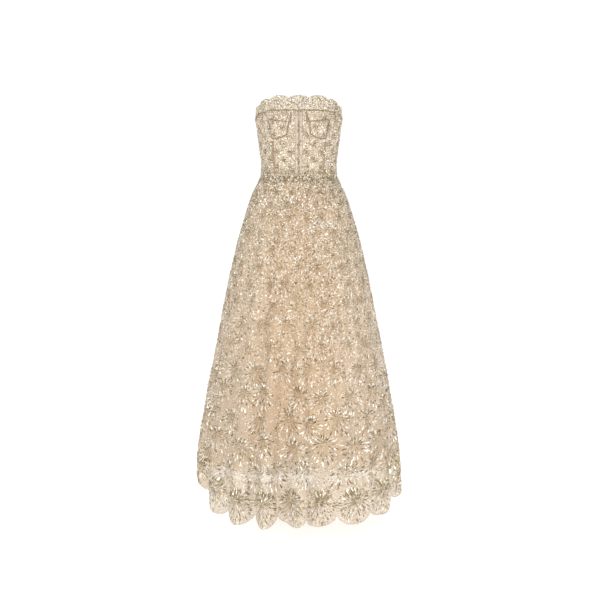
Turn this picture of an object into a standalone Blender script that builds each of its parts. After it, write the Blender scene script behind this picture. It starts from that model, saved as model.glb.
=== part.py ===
"""A strapless embroidered evening gown, filled out as it is worn, with nobody in it.

Metres, +Z up. The origin is the middle of the waist seam, where the wearer's waist carries the gown.
The front faces -Y, and an angle runs round the figure from centre front, 0, over the side at +X,
90 degrees, to centre back, 180. Left and right are the viewer's, from the front. Every cloth wall
is worked out from two tables of body sections and lofted between them.
"""

import math

import bmesh
import bpy
import numpy as np
from mathutils import Vector

# Cloth and sewing sizes
BODICE_WALL = 0.0020
NET_WALL = 0.0012
LINING_WALL = 0.0010
SEAM_GAP = 0.0003
LAID_GAP = 0.0004

# Sections of the bodice, from the waist seam up to the top of the scallops
BODICE_SECTIONS = [
    # height, half_width, front_depth, back_depth
    (0.000, 0.1195, 0.0880, 0.0860),
    (0.014, 0.1176, 0.0872, 0.0850),
    (0.050, 0.1178, 0.0900, 0.0850),
    (0.078, 0.1216, 0.0940, 0.0880),
    (0.110, 0.1258, 0.0985, 0.0935),
    (0.145, 0.1302, 0.1020, 0.0975),
    (0.180, 0.1348, 0.1040, 0.0985),
    (0.200, 0.1338, 0.1035, 0.0980),
    (0.250, 0.1290, 0.1000, 0.0960),
]

# Sections of the skirt, from the waist seam down to the hem
SKIRT_SECTIONS = [
    # height, half_width, front_depth, back_depth
    (0.000, 0.1195, 0.0880, 0.0860),
    (-0.025, 0.1312, 0.0965, 0.0990),
    (-0.063, 0.1500, 0.1085, 0.1200),
    (-0.114, 0.1672, 0.1215, 0.1400),
    (-0.190, 0.1905, 0.1400, 0.1610),
    (-0.267, 0.2105, 0.1570, 0.1790),
    (-0.384, 0.2365, 0.1810, 0.2030),
    (-0.541, 0.2665, 0.2100, 0.2310),
    (-0.701, 0.2970, 0.2380, 0.2590),
    (-0.862, 0.3235, 0.2640, 0.2840),
    (-1.070, 0.3390, 0.2880, 0.3060),
]

# Flutes of the skirt at the hem: how far each ridge or hollow stands off the smooth section
SKIRT_FOLDS = [
    # angle, push
    (-180, -0.012),
    (-167, 0.014),
    (-154, -0.015),
    (-141, 0.013),
    (-128, -0.014),
    (-116, 0.014),
    (-104, -0.010),
    (-92, 0.000),
    (-79, 0.001),
    (-67, -0.027),
    (-57, -0.008),
    (-46, -0.027),
    (-36, 0.000),
    (-26, -0.026),
    (-17, 0.024),
    (-8, -0.026),
    (1, 0.026),
    (10, -0.018),
    (19, -0.030),
    (29, -0.016),
    (38, -0.014),
    (48, -0.021),
    (58, -0.007),
    (68, -0.014),
    (80, 0.004),
    (92, -0.003),
    (104, 0.013),
    (116, -0.012),
    (128, 0.015),
    (141, -0.014),
    (154, 0.013),
    (167, -0.013),
    (180, -0.012),
]
SKIRT_ROWS = [0.0, 0.028, 0.062, 0.110, 0.152, 0.175, 0.290, 0.470, 0.690, 0.900, 1.0]
FOLD_START = -0.10
FOLD_END = -1.06

# Hem and neckline
HEM_LINE = [
    # angle, height of the lowest points of the scallops
    (-180, -1.048),
    (-140, -1.030),
    (-110, -0.992),
    (-78, -0.990),
    (-62, -1.040),
    (-42, -1.064),
    (-18, -1.056),
    (0, -1.051),
    (12, -1.060),
    (30, -1.064),
    (60, -1.053),
    (78, -1.026),
    (100, -1.012),
    (140, -1.040),
    (180, -1.048),
]
HEM_SCALLOPS = {"skirt_back_left": 5, "skirt_front": 9, "skirt_back_right": 5}
HEM_SCALLOP_DEPTH = 0.030
COLUMNS_PER_SCALLOP = 8
NECK_SCALLOPS = 13
NECK_NOTCH = 0.0090
TOP_LINE = [
    # angle, height of the top seam, height of the scalloped net above it
    (0, 0.1990, 0.0440),
    (28, 0.1985, 0.0450),
    (55, 0.1940, 0.0385),
    (83, 0.1790, 0.0340),
    (120, 0.1690, 0.0330),
    (180, 0.1660, 0.0330),
]

# Seams of the front bodice: distance from centre front at each height
GORE_SEAM = [
    # height, x
    (0.000, 0.0255),
    (0.060, 0.0270),
    (0.110, 0.0330),
    (0.135, 0.0355),
    (0.160, 0.0305),
    (0.180, 0.0250),
    (0.205, 0.0210),
]
PRINCESS_SEAM = [
    # height, x
    (0.000, 0.0740),
    (0.060, 0.0780),
    (0.115, 0.0830),
    (0.150, 0.0890),
    (0.174, 0.0960),
    (0.205, 0.1150),
]
SIDE_ANGLE = 90.0

# Heights of the cross seams where they meet the upright seams
CROSS_SEAMS = [
    # name, at_gore, at_princess, at_side, at_back, sag between gore and princess
    ("waist", 0.0000, 0.0000, 0.0000, 0.0000, 0.0000),
    ("underwire", 0.1270, 0.1150, 0.1060, 0.1000, 0.0050),
    ("cup_seam", 0.1640, 0.1730, 0.1430, 0.1350, 0.0010),
]
ROWS_BETWEEN = {"waist": 6, "underwire": 5, "cup_seam": 3}
CUP_COLUMNS = 10
CUP = {"height": 0.0175, "fullest": 0.42, "at_top": 0.30, "edge_below": 1.00, "edge_above": 1.90}

# The lining hangs inside the net and ends above its hem
LINING_ABOVE_HEM = 0.150
LINING_TOP = -0.0012
LINING_TOP_GAP = 0.0008
LINING_ROWS = [0.0, 0.030, 0.075, 0.135, 0.240, 0.440, 0.720, 1.0]
LINING_SLACK = 0.026
LINING_SLACK_REACHED = 0.62
LINING_FOLD_SHARE = 0.30

# Casings, bindings and the zip
CASING_WIDTH = 0.0070
CENTRE_CASING_WIDTH = 0.0100
CENTRE_CASING_OFFSET = 0.0062
UNDERWIRE_WIDTH = 0.0048
CUP_TRIM_GAP = 0.0008
BINDING_WIDTH = 0.0036
CASING_RISE = 0.0012
CASING_CROWN = 0.0005
ZIP_HALF_OPENING = 0.0024
ZIP_CHAIN_HALF_WIDTH = 0.0020
ZIP_BOTTOM = -0.160
ZIP_CLOSES = -0.185
ZIP_CHAIN_WALL = 0.0011
SLIDER = {"width": 0.0066, "height": 0.0090, "depth": 0.0020, "centre": 0.1540}
LUG = {"width": 0.0008, "height": 0.0024, "spread": 0.0020, "root": 0.0004, "over_pin": 0.0004}
PIN = {"radius": 0.0005, "above_centre": 0.0015, "clear_of_body": 0.0004}
PULL = {"eye_hole": 0.00058, "eye_rim": 0.00145, "eye_width": 0.0018, "neck": 0.0022,
        "width": 0.0056, "widest": 0.62, "length": 0.0230, "thickness": 0.0011}

# Colours
COLOURS = {
    # red, green, blue, roughness, metallic
    "net": (0.72, 0.64, 0.52, 0.45, 0.15),
    "satin": (0.74, 0.60, 0.45, 0.40, 0.00),
    "lining": (0.72, 0.55, 0.39, 0.50, 0.00),
    "casing": (0.62, 0.48, 0.34, 0.50, 0.00),
    "metal": (0.72, 0.66, 0.52, 0.30, 1.00),
}


def table_column(rows, column, at):
    """A smooth curve through one column of a table, as a cubic with mean slopes between rows."""
    rows = sorted(rows)
    xs = np.array([row[0] for row in rows], float)
    ys = np.array([row[column] for row in rows], float)
    slopes = np.gradient(ys, xs)
    at = np.clip(np.asarray(at, float), xs[0], xs[-1])
    low = np.clip(np.searchsorted(xs, at, side="right") - 1, 0, len(xs) - 2)
    width = xs[low + 1] - xs[low]
    t = (at - xs[low]) / width
    return (
        (2 * t**3 - 3 * t**2 + 1) * ys[low]
        + (t**3 - 2 * t**2 + t) * width * slopes[low]
        + (3 * t**2 - 2 * t**3) * ys[low + 1]
        + (t**3 - t**2) * width * slopes[low + 1]
    )


def smooth_step(t):
    t = np.clip(t, 0.0, 1.0)
    return t * t * (3 - 2 * t)


def wrapped(angle):
    """An angle in degrees brought to -180..180."""
    return (np.asarray(angle, float) + 180.0) % 360.0 - 180.0


def fold_push(angle):
    """Smooth ridges and hollows through the rows of the fold table."""
    angle = wrapped(angle)
    xs = np.array([row[0] for row in SKIRT_FOLDS], float)
    ys = np.array([row[1] for row in SKIRT_FOLDS], float)
    low = np.clip(np.searchsorted(xs, angle, side="right") - 1, 0, len(xs) - 2)
    t = smooth_step((angle - xs[low]) / (xs[low + 1] - xs[low]))
    return ys[low] + (ys[low + 1] - ys[low]) * t


def ring_point(sections, angle, height, push=0.0, inset=0.0):
    """A point of a body section, pushed out along the section's own normal."""
    radians = np.radians(angle)
    sine, cosine = np.sin(radians), np.cos(radians)
    half = table_column(sections, 1, height) - inset
    front = table_column(sections, 2, height) - inset
    back = table_column(sections, 3, height) - inset
    depth = np.where(cosine > 0, front, back)
    out_x, out_y = sine / half, -cosine / depth
    length = np.hypot(out_x, out_y)
    x = half * sine + push * out_x / length
    y = -depth * cosine + push * out_y / length
    return np.stack(np.broadcast_arrays(x, y, height), axis=-1)


def cup_push(angle, height):
    """The dome of a bust cup, from a firm edge along the underwire to a soft one at the top seam."""
    angle = np.abs(wrapped(angle))
    start, end = seam_angle(GORE_SEAM, height), seam_angle(PRINCESS_SEAM, height)
    share = np.clip((angle - start) / (end - start), 0, 1)
    foot = cross_line("underwire", "gore", "princess", share)
    climb = np.clip((height - foot) / (top_height(angle) - foot), 0, 1.5)
    full = CUP["fullest"]
    rising = np.sqrt(np.clip(1 - (1 - climb / full) ** 2, 0, 1))
    falling = CUP["at_top"] + (1 - CUP["at_top"]) * smooth_step((1.25 - climb) / (1.25 - full))
    edge = CUP["edge_below"] + (CUP["edge_above"] - CUP["edge_below"]) * smooth_step(climb)
    across = np.clip(4 * share * (1 - share), 1e-9, 1) ** edge
    return CUP["height"] * across * np.where(climb < full, rising, falling)


def bodice_surface(angle, height):
    push = np.where(np.abs(wrapped(angle)) < 75, cup_push(angle, height), 0.0)
    return ring_point(BODICE_SECTIONS, angle, height, push)


def fold_growth(height):
    """Flutes start below the hip and deepen to the hem."""
    return np.clip((height - FOLD_START) / (FOLD_END - FOLD_START), 0, 1.1) ** 1.15


def skirt_surface(angle, height):
    return ring_point(SKIRT_SECTIONS, angle, height, fold_push(angle) * fold_growth(height))


def lining_surface(angle, height):
    slack = LINING_SLACK * smooth_step(-height / LINING_SLACK_REACHED) ** 0.8
    inset = NET_WALL + LINING_TOP_GAP + slack
    push = LINING_FOLD_SHARE * fold_push(angle) * fold_growth(height)
    return ring_point(SKIRT_SECTIONS, angle, height, push, inset)


def outward(surface, angle, height):
    """Unit normals of a surface, from small steps round it and up it."""
    turn, climb = 0.25, 0.0012
    across = surface(angle + turn, height) - surface(angle - turn, height)
    up = surface(angle, height + climb) - surface(angle, height - climb)
    normal = np.cross(across, up)
    return normal / np.linalg.norm(normal, axis=-1, keepdims=True)


def material(name):
    found = bpy.data.materials.get(name)
    if found:
        return found
    made = bpy.data.materials.new(name)
    made.use_nodes = True
    red, green, blue, roughness, metallic = COLOURS[name]
    shader = made.node_tree.nodes["Principled BSDF"]
    shader.inputs["Base Color"].default_value = (red, green, blue, 1)
    shader.inputs["Roughness"].default_value = roughness
    shader.inputs["Metallic"].default_value = metallic
    return made


def add_object(name, mesh, colour, collection):
    mesh.materials.append(material(colour))
    for polygon in mesh.polygons:
        polygon.use_smooth = True
    made = bpy.data.objects.new(name, mesh)
    collection.objects.link(made)
    return made


def wall(name, outer, inner, colour, collection):
    """A closed cloth wall from two grids of points, rows upwards and columns to the viewer's right."""
    rows, columns = outer.shape[:2]
    shape = bmesh.new()
    front = [[shape.verts.new(outer[r, c]) for c in range(columns)] for r in range(rows)]
    back = [[shape.verts.new(inner[r, c]) for c in range(columns)] for r in range(rows)]
    for r in range(rows - 1):
        for c in range(columns - 1):
            shape.faces.new((front[r][c], front[r][c + 1], front[r + 1][c + 1], front[r + 1][c]))
            shape.faces.new((back[r][c], back[r + 1][c], back[r + 1][c + 1], back[r][c + 1]))
    for c in range(columns - 1):
        shape.faces.new((front[0][c], back[0][c], back[0][c + 1], front[0][c + 1]))
        shape.faces.new((front[-1][c], front[-1][c + 1], back[-1][c + 1], back[-1][c]))
    for r in range(rows - 1):
        shape.faces.new((front[r][0], front[r + 1][0], back[r + 1][0], back[r][0]))
        shape.faces.new((front[r][-1], back[r][-1], back[r + 1][-1], front[r + 1][-1]))
    mesh = bpy.data.meshes.new(name)
    shape.to_mesh(mesh)
    shape.free()
    return add_object(name, mesh, colour, collection)


def cloth(name, surface, angle, height, thickness, colour, collection):
    """A wall whose outer face is the surface and whose inner face is a thickness inside it."""
    if angle[0, 0] > angle[0, -1]:
        angle, height = angle[:, ::-1], height[:, ::-1]
    outer = surface(angle, height)
    inner = outer - thickness * outward(surface, angle, height)
    return wall(name, outer, inner, colour, collection)


def seam_angle(rows, height):
    """The angle of an upright front seam, whose table gives its distance from centre front."""
    x = table_column(rows, 1, height)
    return np.degrees(np.arcsin(x / table_column(BODICE_SECTIONS, 1, height)))


def gap_angle(distance, height):
    """How many degrees a short distance takes up at the figure's back or front."""
    return np.degrees(distance / table_column(BODICE_SECTIONS, 1, height))


def top_height(angle):
    return table_column(TOP_LINE, 1, np.abs(wrapped(angle)))


def upright_line(place, height):
    """The angle of one of the bodice's upright seams at a height."""
    if place == "centre":
        return 0.0 * height
    if place == "gore":
        return seam_angle(GORE_SEAM, height)
    if place == "princess":
        return seam_angle(PRINCESS_SEAM, height)
    if place == "side":
        return SIDE_ANGLE + 0.0 * height
    return 180.0 - gap_angle(ZIP_HALF_OPENING, height)


def cross_height(seam, place):
    """The height at which a cross seam meets an upright seam."""
    columns = {"centre": 1, "gore": 1, "princess": 2, "side": 3, "back": 4}
    row = next(r for r in CROSS_SEAMS if r[0] == seam)
    return row[columns[place]]


def panel_angle(left, right, share, height):
    """Angles across a panel at a height, from its left seam, share 0, to its right seam, share 1."""
    half_gap = gap_angle(SEAM_GAP / 2, height)
    start = upright_line(left, height) + half_gap
    end = upright_line(right, height) - (0 if right == "back" else half_gap)
    return start + (end - start) * share


def cross_line(seam, left, right, share):
    """Heights of a cross seam along a panel."""
    if seam == "top":
        height = 0.19 + 0 * share
        for _ in range(6):
            height = top_height(panel_angle(left, right, share, height))
        return height
    low, high = cross_height(seam, left), cross_height(seam, right)
    sag = next(r[5] for r in CROSS_SEAMS if r[0] == seam) if right == "princess" else 0
    return low + (high - low) * share - sag * 4 * share * (1 - share)


def bodice_panel(name, left, right, seams, columns, side, colour, collection):
    """A panel between two upright seams, through the cross seams that bound it and pass it."""
    share = np.linspace(0, 1, columns + 1)
    heights = []
    for low, high in zip(seams, seams[1:]):
        start, end = (cross_line(seam, left, right, share) for seam in (low, high))
        steps = np.linspace(0, 1, ROWS_BETWEEN[low] + 1)
        rows = start[None, :] + (end - start)[None, :] * steps[:, None]
        heights.append(rows if not heights else rows[1:])
    height = np.concatenate(heights)
    height[0] += SEAM_GAP / 2
    height[-1] -= SEAM_GAP / 2
    angle = side * panel_angle(left, right, share[None, :], height)
    return cloth(name, bodice_surface, angle, height, BODICE_WALL, colour, collection)


def make_bodice(collection):
    for side, word in ((-1, "left"), (1, "right")):
        whole = ["waist", "underwire", "cup_seam", "top"]
        bodice_panel(f"bodice_centre_{word}", "centre", "gore", whole, 3, side, "satin", collection)
        for panel, seams in (
            ("bodice_front", whole[:2]), ("cup_lower", whole[1:3]), ("cup_upper", whole[2:])
        ):
            bodice_panel(f"{panel}_{word}", "gore", "princess", seams, CUP_COLUMNS, side, "satin",
                         collection)
        bodice_panel(f"bodice_side_{word}", "princess", "side", whole, 6, side, "satin", collection)
        bodice_panel(f"bodice_back_{word}", "side", "back", whole, 10, side, "satin", collection)


def neck_edge_height(angle):
    """The scalloped edge of the net: a row of shallow round arcs above the top seam."""
    pitch = 360.0 / NECK_SCALLOPS
    across = (wrapped(angle) / pitch + 0.5) % 1.0 * 2 - 1
    notch = NECK_NOTCH * (1 - np.sqrt(1 - 0.96 * across**2)) / (1 - math.sqrt(0.04))
    return top_height(angle) + table_column(TOP_LINE, 2, np.abs(wrapped(angle))) - notch


def neckline_net(name, start, end, columns, collection):
    """A stretch of the net that stands up above the top seam, ending in scallops."""
    angle = np.linspace(start, end, columns + 1)[None, :]
    low = top_height(angle) + SEAM_GAP / 2
    high = neck_edge_height(angle)
    rise = np.array([0.0, 0.5, 1.0])[:, None]
    height = low + (high - low) * rise
    cloth(name, bodice_surface, np.broadcast_to(angle, height.shape), height, NET_WALL, "net",
          collection)


def make_neckline(collection):
    gap = float(gap_angle(SEAM_GAP / 2, np.array(0.17)))
    neckline_net("neckline_net_front", -SIDE_ANGLE + gap, SIDE_ANGLE - gap, 52, collection)
    neckline_net("neckline_net_back_left", -180 + gap, -SIDE_ANGLE - gap, 22, collection)
    neckline_net("neckline_net_back_right", SIDE_ANGLE + gap, 180 - gap, 22, collection)


def strip(name, angle, height, width, surface, colour, collection, gap=LAID_GAP):
    """A sewn casing: three lines of the cloth's own points, moved out along its normals."""
    angle, height = np.asarray(angle, float), np.asarray(height, float)
    centre = surface(angle, height)
    step = np.gradient(centre, axis=0)
    normal = outward(surface, angle, height)
    across = np.cross(step, normal)
    across /= np.linalg.norm(across, axis=-1, keepdims=True)
    turn = surface(angle + 0.5, height) - surface(angle - 0.5, height)
    per_degree = np.linalg.norm(turn, axis=-1)
    around = (across * turn).sum(-1) / per_degree
    places = []
    for share in (-0.5, 0.0, 0.5):
        shifted_angle = angle + share * width * around / per_degree
        shifted_height = height + share * width * across[:, 2]
        places.append((shifted_angle, shifted_height, CASING_RISE + CASING_CROWN * (share == 0)))
    outer, inner = [], []
    for a, z, lift in places:
        base = surface(a, z)
        out = outward(surface, a, z)
        outer.append(base + (gap + lift) * out)
        inner.append(base + gap * out)
    outer, inner = np.stack(outer, axis=1), np.stack(inner, axis=1)
    return wall(name, outer, inner, colour, collection)


def cup_edge(side):
    """The underwire's line, from the top seam down the gore, under the cup and up the princess."""
    share = np.linspace(0, 1, CUP_COLUMNS + 1)
    under = cross_line("underwire", "gore", "princess", share)
    down = np.linspace(0.1925, under[0], 9)[:-1]
    up = np.linspace(under[-1], 0.1700, 8)[1:]
    angle = np.concatenate([
        upright_line("gore", down),
        panel_angle("gore", "princess", share, under),
        upright_line("princess", up),
    ])
    return side * angle, np.concatenate([down, under, up])


def softened(line, passes=2):
    """Corners of a line rounded off by averaging neighbours."""
    line = np.array(line, float)
    for _ in range(passes):
        line[1:-1] = (line[:-2] + 2 * line[1:-1] + line[2:]) / 4
    return line


def make_casings(collection):
    foot = 0.004
    for side, word in ((-1, "left"), (1, "right")):
        height = np.linspace(foot, 0.1940, 12)
        angle = side * np.degrees(CENTRE_CASING_OFFSET / table_column(BODICE_SECTIONS, 1, height))
        strip(f"casing_centre_{word}", angle, height, CENTRE_CASING_WIDTH, bodice_surface, "casing",
              collection)
        height = np.linspace(foot, 0.1045, 8)
        strip(f"casing_princess_{word}", side * upright_line("princess", height), height,
              CASING_WIDTH, bodice_surface, "casing", collection)
        angle, height = cup_edge(side)
        strip(f"underwire_{word}", softened(angle), softened(height), UNDERWIRE_WIDTH,
              bodice_surface, "casing", collection, CUP_TRIM_GAP)
        share = np.concatenate([[0.08], np.arange(1, CUP_COLUMNS) / CUP_COLUMNS, [0.92]])
        height = cross_line("cup_seam", "gore", "princess", share)
        angle = side * panel_angle("gore", "princess", share, height)
        strip(f"cup_seam_{word}", angle, height, BINDING_WIDTH, bodice_surface, "casing",
              collection, CUP_TRIM_GAP)
        for place, turn in (("side", 88.0), ("back", 135.0)):
            height = np.linspace(foot, float(top_height(turn)) - 0.005, 10)
            strip(f"casing_{place}_{word}", np.full(10, side * turn), height, CASING_WIDTH,
                  bodice_surface, "casing", collection)
    make_top_binding(collection)


def make_top_binding(collection):
    edge = float(gap_angle(ZIP_HALF_OPENING, np.array(0.17)))
    for name, start, end, count in (
        ("top_binding_front", -SIDE_ANGLE + 0.2, SIDE_ANGLE - 0.2, 45),
        ("top_binding_back_left", -180 + edge, -SIDE_ANGLE - 0.2, 15),
        ("top_binding_back_right", SIDE_ANGLE + 0.2, 180 - edge, 15),
    ):
        angle = np.linspace(start, end, count)
        strip(name, angle, top_height(angle), BINDING_WIDTH, bodice_surface, "casing", collection)


def hem_height(angle, across, depth):
    """The hem line, with a round arc for each scallop."""
    notch = depth * (1 - np.sqrt(1 - 0.985 * across**2)) / (1 - math.sqrt(0.015))
    return table_column(HEM_LINE, 1, wrapped(angle)) + notch


def even_columns(start, end, scallops):
    """Angles from start to end that cut the fluted hem into equal lengths of cloth."""
    fine = np.linspace(start, end, 900)
    points = skirt_surface(fine, np.full(900, -1.03))
    run = np.concatenate([[0], np.cumsum(np.linalg.norm(np.diff(points, axis=0), axis=1))])
    share = np.linspace(0, 1, scallops * COLUMNS_PER_SCALLOP + 1)
    return np.interp(share * run[-1], run, fine), share * scallops


def opening_half_width(height):
    """Half the gap at centre back: the zip's room above its end, and a plain seam below."""
    share = smooth_step((height - ZIP_CLOSES) / (ZIP_BOTTOM - ZIP_CLOSES))
    return SEAM_GAP / 2 + (ZIP_HALF_OPENING - SEAM_GAP / 2) * share


def make_skirt(collection):
    for name, start, end in (
        ("skirt_back_left", -180, -90), ("skirt_front", -90, 90), ("skirt_back_right", 90, 180)
    ):
        turns, scallop = even_columns(start, end, HEM_SCALLOPS[name])
        across = scallop % 1.0 * 2 - 1
        hem = hem_height(turns, across, HEM_SCALLOP_DEPTH)
        plain = hem_height(turns, 0 * across, 0)
        rows = np.array(SKIRT_ROWS[::-1])[:, None]
        height = plain * rows + (hem - plain) * rows**9 - SEAM_GAP / 2 * (1 - rows)
        width = table_column(SKIRT_SECTIONS, 1, height)
        back = opening_half_width(height)
        low = np.degrees((back if start == -180 else SEAM_GAP / 2) / width)
        high = np.degrees((back if end == 180 else SEAM_GAP / 2) / width)
        share = ((turns - start) / (end - start))[None, :]
        angle = start + low + (end - start - low - high) * share
        cloth(name, skirt_surface, angle, height, NET_WALL, "net", collection)


def make_lining(collection):
    for name, start, end in (("lining_front", -90, 90), ("lining_back", 90, 270)):
        turn = np.linspace(start, end, 31)[None, :]
        rows = np.array(LINING_ROWS[::-1])[:, None]
        low = table_column(HEM_LINE, 1, wrapped(turn)) + LINING_ABOVE_HEM
        height = LINING_TOP + (low - LINING_TOP) * rows
        width = table_column(SKIRT_SECTIONS, 1, height)
        gap = np.degrees(SEAM_GAP / 2 / width)
        share = (turn - start) / (end - start)
        angle = start + gap + (end - start - 2 * gap) * share
        cloth(name, lining_surface, angle, height, LINING_WALL, "lining", collection)


def back_line(height):
    """The centre back line of the gown: the bodice above the waist and the skirt below."""
    surface = np.where(
        (height > 0)[:, None],
        bodice_surface(np.full(height.shape, 180.0), np.maximum(height, 0)),
        skirt_surface(np.full(height.shape, 180.0), np.minimum(height, 0)),
    )
    return surface


def make_zip_chain(collection):
    """The closed chain lies in the centre back opening, flush with the cloth."""
    top = float(top_height(np.array(180.0))) - 0.002
    height = np.concatenate([np.linspace(ZIP_BOTTOM, -0.004, 9), np.linspace(0.004, top, 9)])
    middle = back_line(height)
    step = np.gradient(middle, axis=0)
    out = np.cross(step, np.array([-1.0, 0.0, 0.0]))
    out /= np.linalg.norm(out, axis=-1, keepdims=True)
    out *= np.where(out[:, 1:2] < 0, -1, 1)
    aside = np.array([ZIP_CHAIN_HALF_WIDTH, 0, 0])
    outer = np.stack([middle + aside, middle, middle - aside], axis=1)
    inner = outer - ZIP_CHAIN_WALL * out[:, None, :]
    outer[:, 1] += 0.0002 * out
    wall("zip_chain", outer, inner, "metal", collection)


def box_mesh(centre, size):
    shape = bmesh.new()
    bmesh.ops.create_cube(shape, size=1)
    bmesh.ops.scale(shape, vec=size, verts=shape.verts)
    bmesh.ops.translate(shape, vec=centre, verts=shape.verts)
    return shape


def cutter_object(name, shape, cutters):
    mesh = bpy.data.meshes.new(name)
    shape.to_mesh(mesh)
    shape.free()
    made = bpy.data.objects.new(name, mesh)
    made.hide_render = True
    made.display_type = "WIRE"
    cutters.objects.link(made)
    return made


def boolean(target, other, operation):
    modifier = target.modifiers.new(operation.lower(), "BOOLEAN")
    modifier.object = other
    modifier.operation = operation
    modifier.solver = "EXACT"


def pivot_point():
    """The middle of the slider's pin, outside the centre back line."""
    surface = float(back_line(np.array([SLIDER["centre"]]))[0][1])
    out = LAID_GAP + SLIDER["depth"] + PULL["eye_rim"] + PIN["clear_of_body"]
    return Vector((0.0, surface + out, SLIDER["centre"] + PIN["above_centre"]))


def rod(length, radius, sides, place):
    """A round bar along X."""
    shape = bmesh.new()
    bmesh.ops.create_cone(shape, cap_ends=True, segments=sides, radius1=radius, radius2=radius,
                          depth=length)
    turn = Vector((0, 0, 1)).rotation_difference(Vector((1, 0, 0))).to_matrix()
    bmesh.ops.rotate(shape, matrix=turn, verts=shape.verts)
    bmesh.ops.translate(shape, vec=place, verts=shape.verts)
    return shape


def make_slider(collection, cutters):
    """The slider's body with two lugs, and the pin that the pull tab swings on."""
    pivot = pivot_point()
    surface = float(back_line(np.array([SLIDER["centre"]]))[0][1])
    face = surface + LAID_GAP
    body = box_mesh((0, face + SLIDER["depth"] / 2, SLIDER["centre"]),
                    (SLIDER["width"], SLIDER["depth"], SLIDER["height"]))
    bmesh.ops.bevel(body, geom=body.edges[:], offset=0.0005, segments=1, affect="EDGES")
    mesh = bpy.data.meshes.new("zip_slider")
    body.to_mesh(mesh)
    body.free()
    slider = add_object("zip_slider", mesh, "metal", collection)
    root = face + SLIDER["depth"] - LUG["root"]
    reach = pivot.y + PIN["radius"] + LUG["over_pin"] - root
    for side in (-1, 1):
        lug = box_mesh((side * LUG["spread"], root + reach / 2, pivot.z),
                       (LUG["width"], reach, LUG["height"]))
        boolean(slider, cutter_object(f"lug_{side}", lug, cutters), "UNION")
    pin = rod(2 * LUG["spread"], PIN["radius"], 12, pivot)
    boolean(slider, cutter_object("pin", pin, cutters), "UNION")


def pull_outline():
    """Half the plate's outline: a narrow neck under the eye that swells to a round foot."""
    steps = 14
    neck_top = 0.0009
    plate_top = 0.0020
    half = [(PULL["eye_width"] / 2, -neck_top)]
    for i in range(steps + 1):
        t = i / steps
        down = -plate_top - (PULL["length"] - plate_top) * t
        if t < PULL["widest"]:
            swell = float(smooth_step(t / PULL["widest"]))
            width = PULL["neck"] / 2 * (1 - t) + PULL["width"] / 2 * swell
        else:
            round_foot = (t - PULL["widest"]) / (1 - PULL["widest"])
            width = PULL["width"] / 2 * math.sqrt(1 - round_foot**2)
        half.append((max(width, 0.0006), down))
    return half


def make_pull(collection, cutters):
    """The pull tab: a drop-shaped plate that hangs from an eye round the slider's pin."""
    pivot = pivot_point()
    half = pull_outline()
    shape = bmesh.new()
    near = [
        shape.verts.new((x, -PULL["thickness"] / 2, z))
        for x, z in half + [(-x, z) for x, z in reversed(half)]
    ]
    grown = bmesh.ops.extrude_face_region(shape, geom=[shape.faces.new(near)])
    moved = [v for v in grown["geom"] if isinstance(v, bmesh.types.BMVert)]
    bmesh.ops.translate(shape, vec=(0, PULL["thickness"], 0), verts=moved)
    bmesh.ops.recalc_face_normals(shape, faces=shape.faces[:])
    mesh = bpy.data.meshes.new("zip_pull")
    shape.to_mesh(mesh)
    shape.free()
    pull = add_object("zip_pull", mesh, "metal", collection)
    pull.location = pivot
    eye = rod(PULL["eye_width"], PULL["eye_rim"], 20, pivot)
    hole = rod(4 * PULL["eye_width"], PULL["eye_hole"], 16, pivot)
    boolean(pull, cutter_object("eye", eye, cutters), "UNION")
    boolean(pull, cutter_object("eye_hole", hole, cutters), "DIFFERENCE")


def new_collection(name):
    made = bpy.data.collections.new(name)
    bpy.context.scene.collection.children.link(made)
    return made


def main():
    for thing in list(bpy.data.objects):
        bpy.data.objects.remove(thing)
    gown = new_collection("embroidered_gown")
    cutters = new_collection("cutters")
    make_bodice(gown)
    make_neckline(gown)
    make_casings(gown)
    make_skirt(gown)
    make_lining(gown)
    make_zip_chain(gown)
    make_slider(gown, cutters)
    make_pull(gown, cutters)


main()
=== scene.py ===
# A strapless evening gown in beaded net, filled out as it is worn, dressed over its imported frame.
# Metres, +Z up, the front faces -Y. Angles run round the figure from centre front, 0, over the
# viewer's right side, 90 degrees, to centre back, 180.
import math

import bpy
import numpy as np
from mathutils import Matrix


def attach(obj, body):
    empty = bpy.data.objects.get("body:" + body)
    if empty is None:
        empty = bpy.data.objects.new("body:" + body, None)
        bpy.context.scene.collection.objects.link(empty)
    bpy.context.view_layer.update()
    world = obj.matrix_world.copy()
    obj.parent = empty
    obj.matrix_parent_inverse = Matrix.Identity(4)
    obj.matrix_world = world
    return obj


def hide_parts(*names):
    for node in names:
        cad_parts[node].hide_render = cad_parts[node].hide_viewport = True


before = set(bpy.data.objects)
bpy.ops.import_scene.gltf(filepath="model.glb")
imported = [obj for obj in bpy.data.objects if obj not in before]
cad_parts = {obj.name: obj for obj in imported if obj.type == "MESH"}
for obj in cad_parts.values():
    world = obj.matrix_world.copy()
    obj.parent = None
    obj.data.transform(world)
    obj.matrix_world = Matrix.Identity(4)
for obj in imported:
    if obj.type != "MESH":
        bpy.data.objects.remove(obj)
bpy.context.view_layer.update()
print("frame loaded:", len(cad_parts), "nodes")

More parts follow.
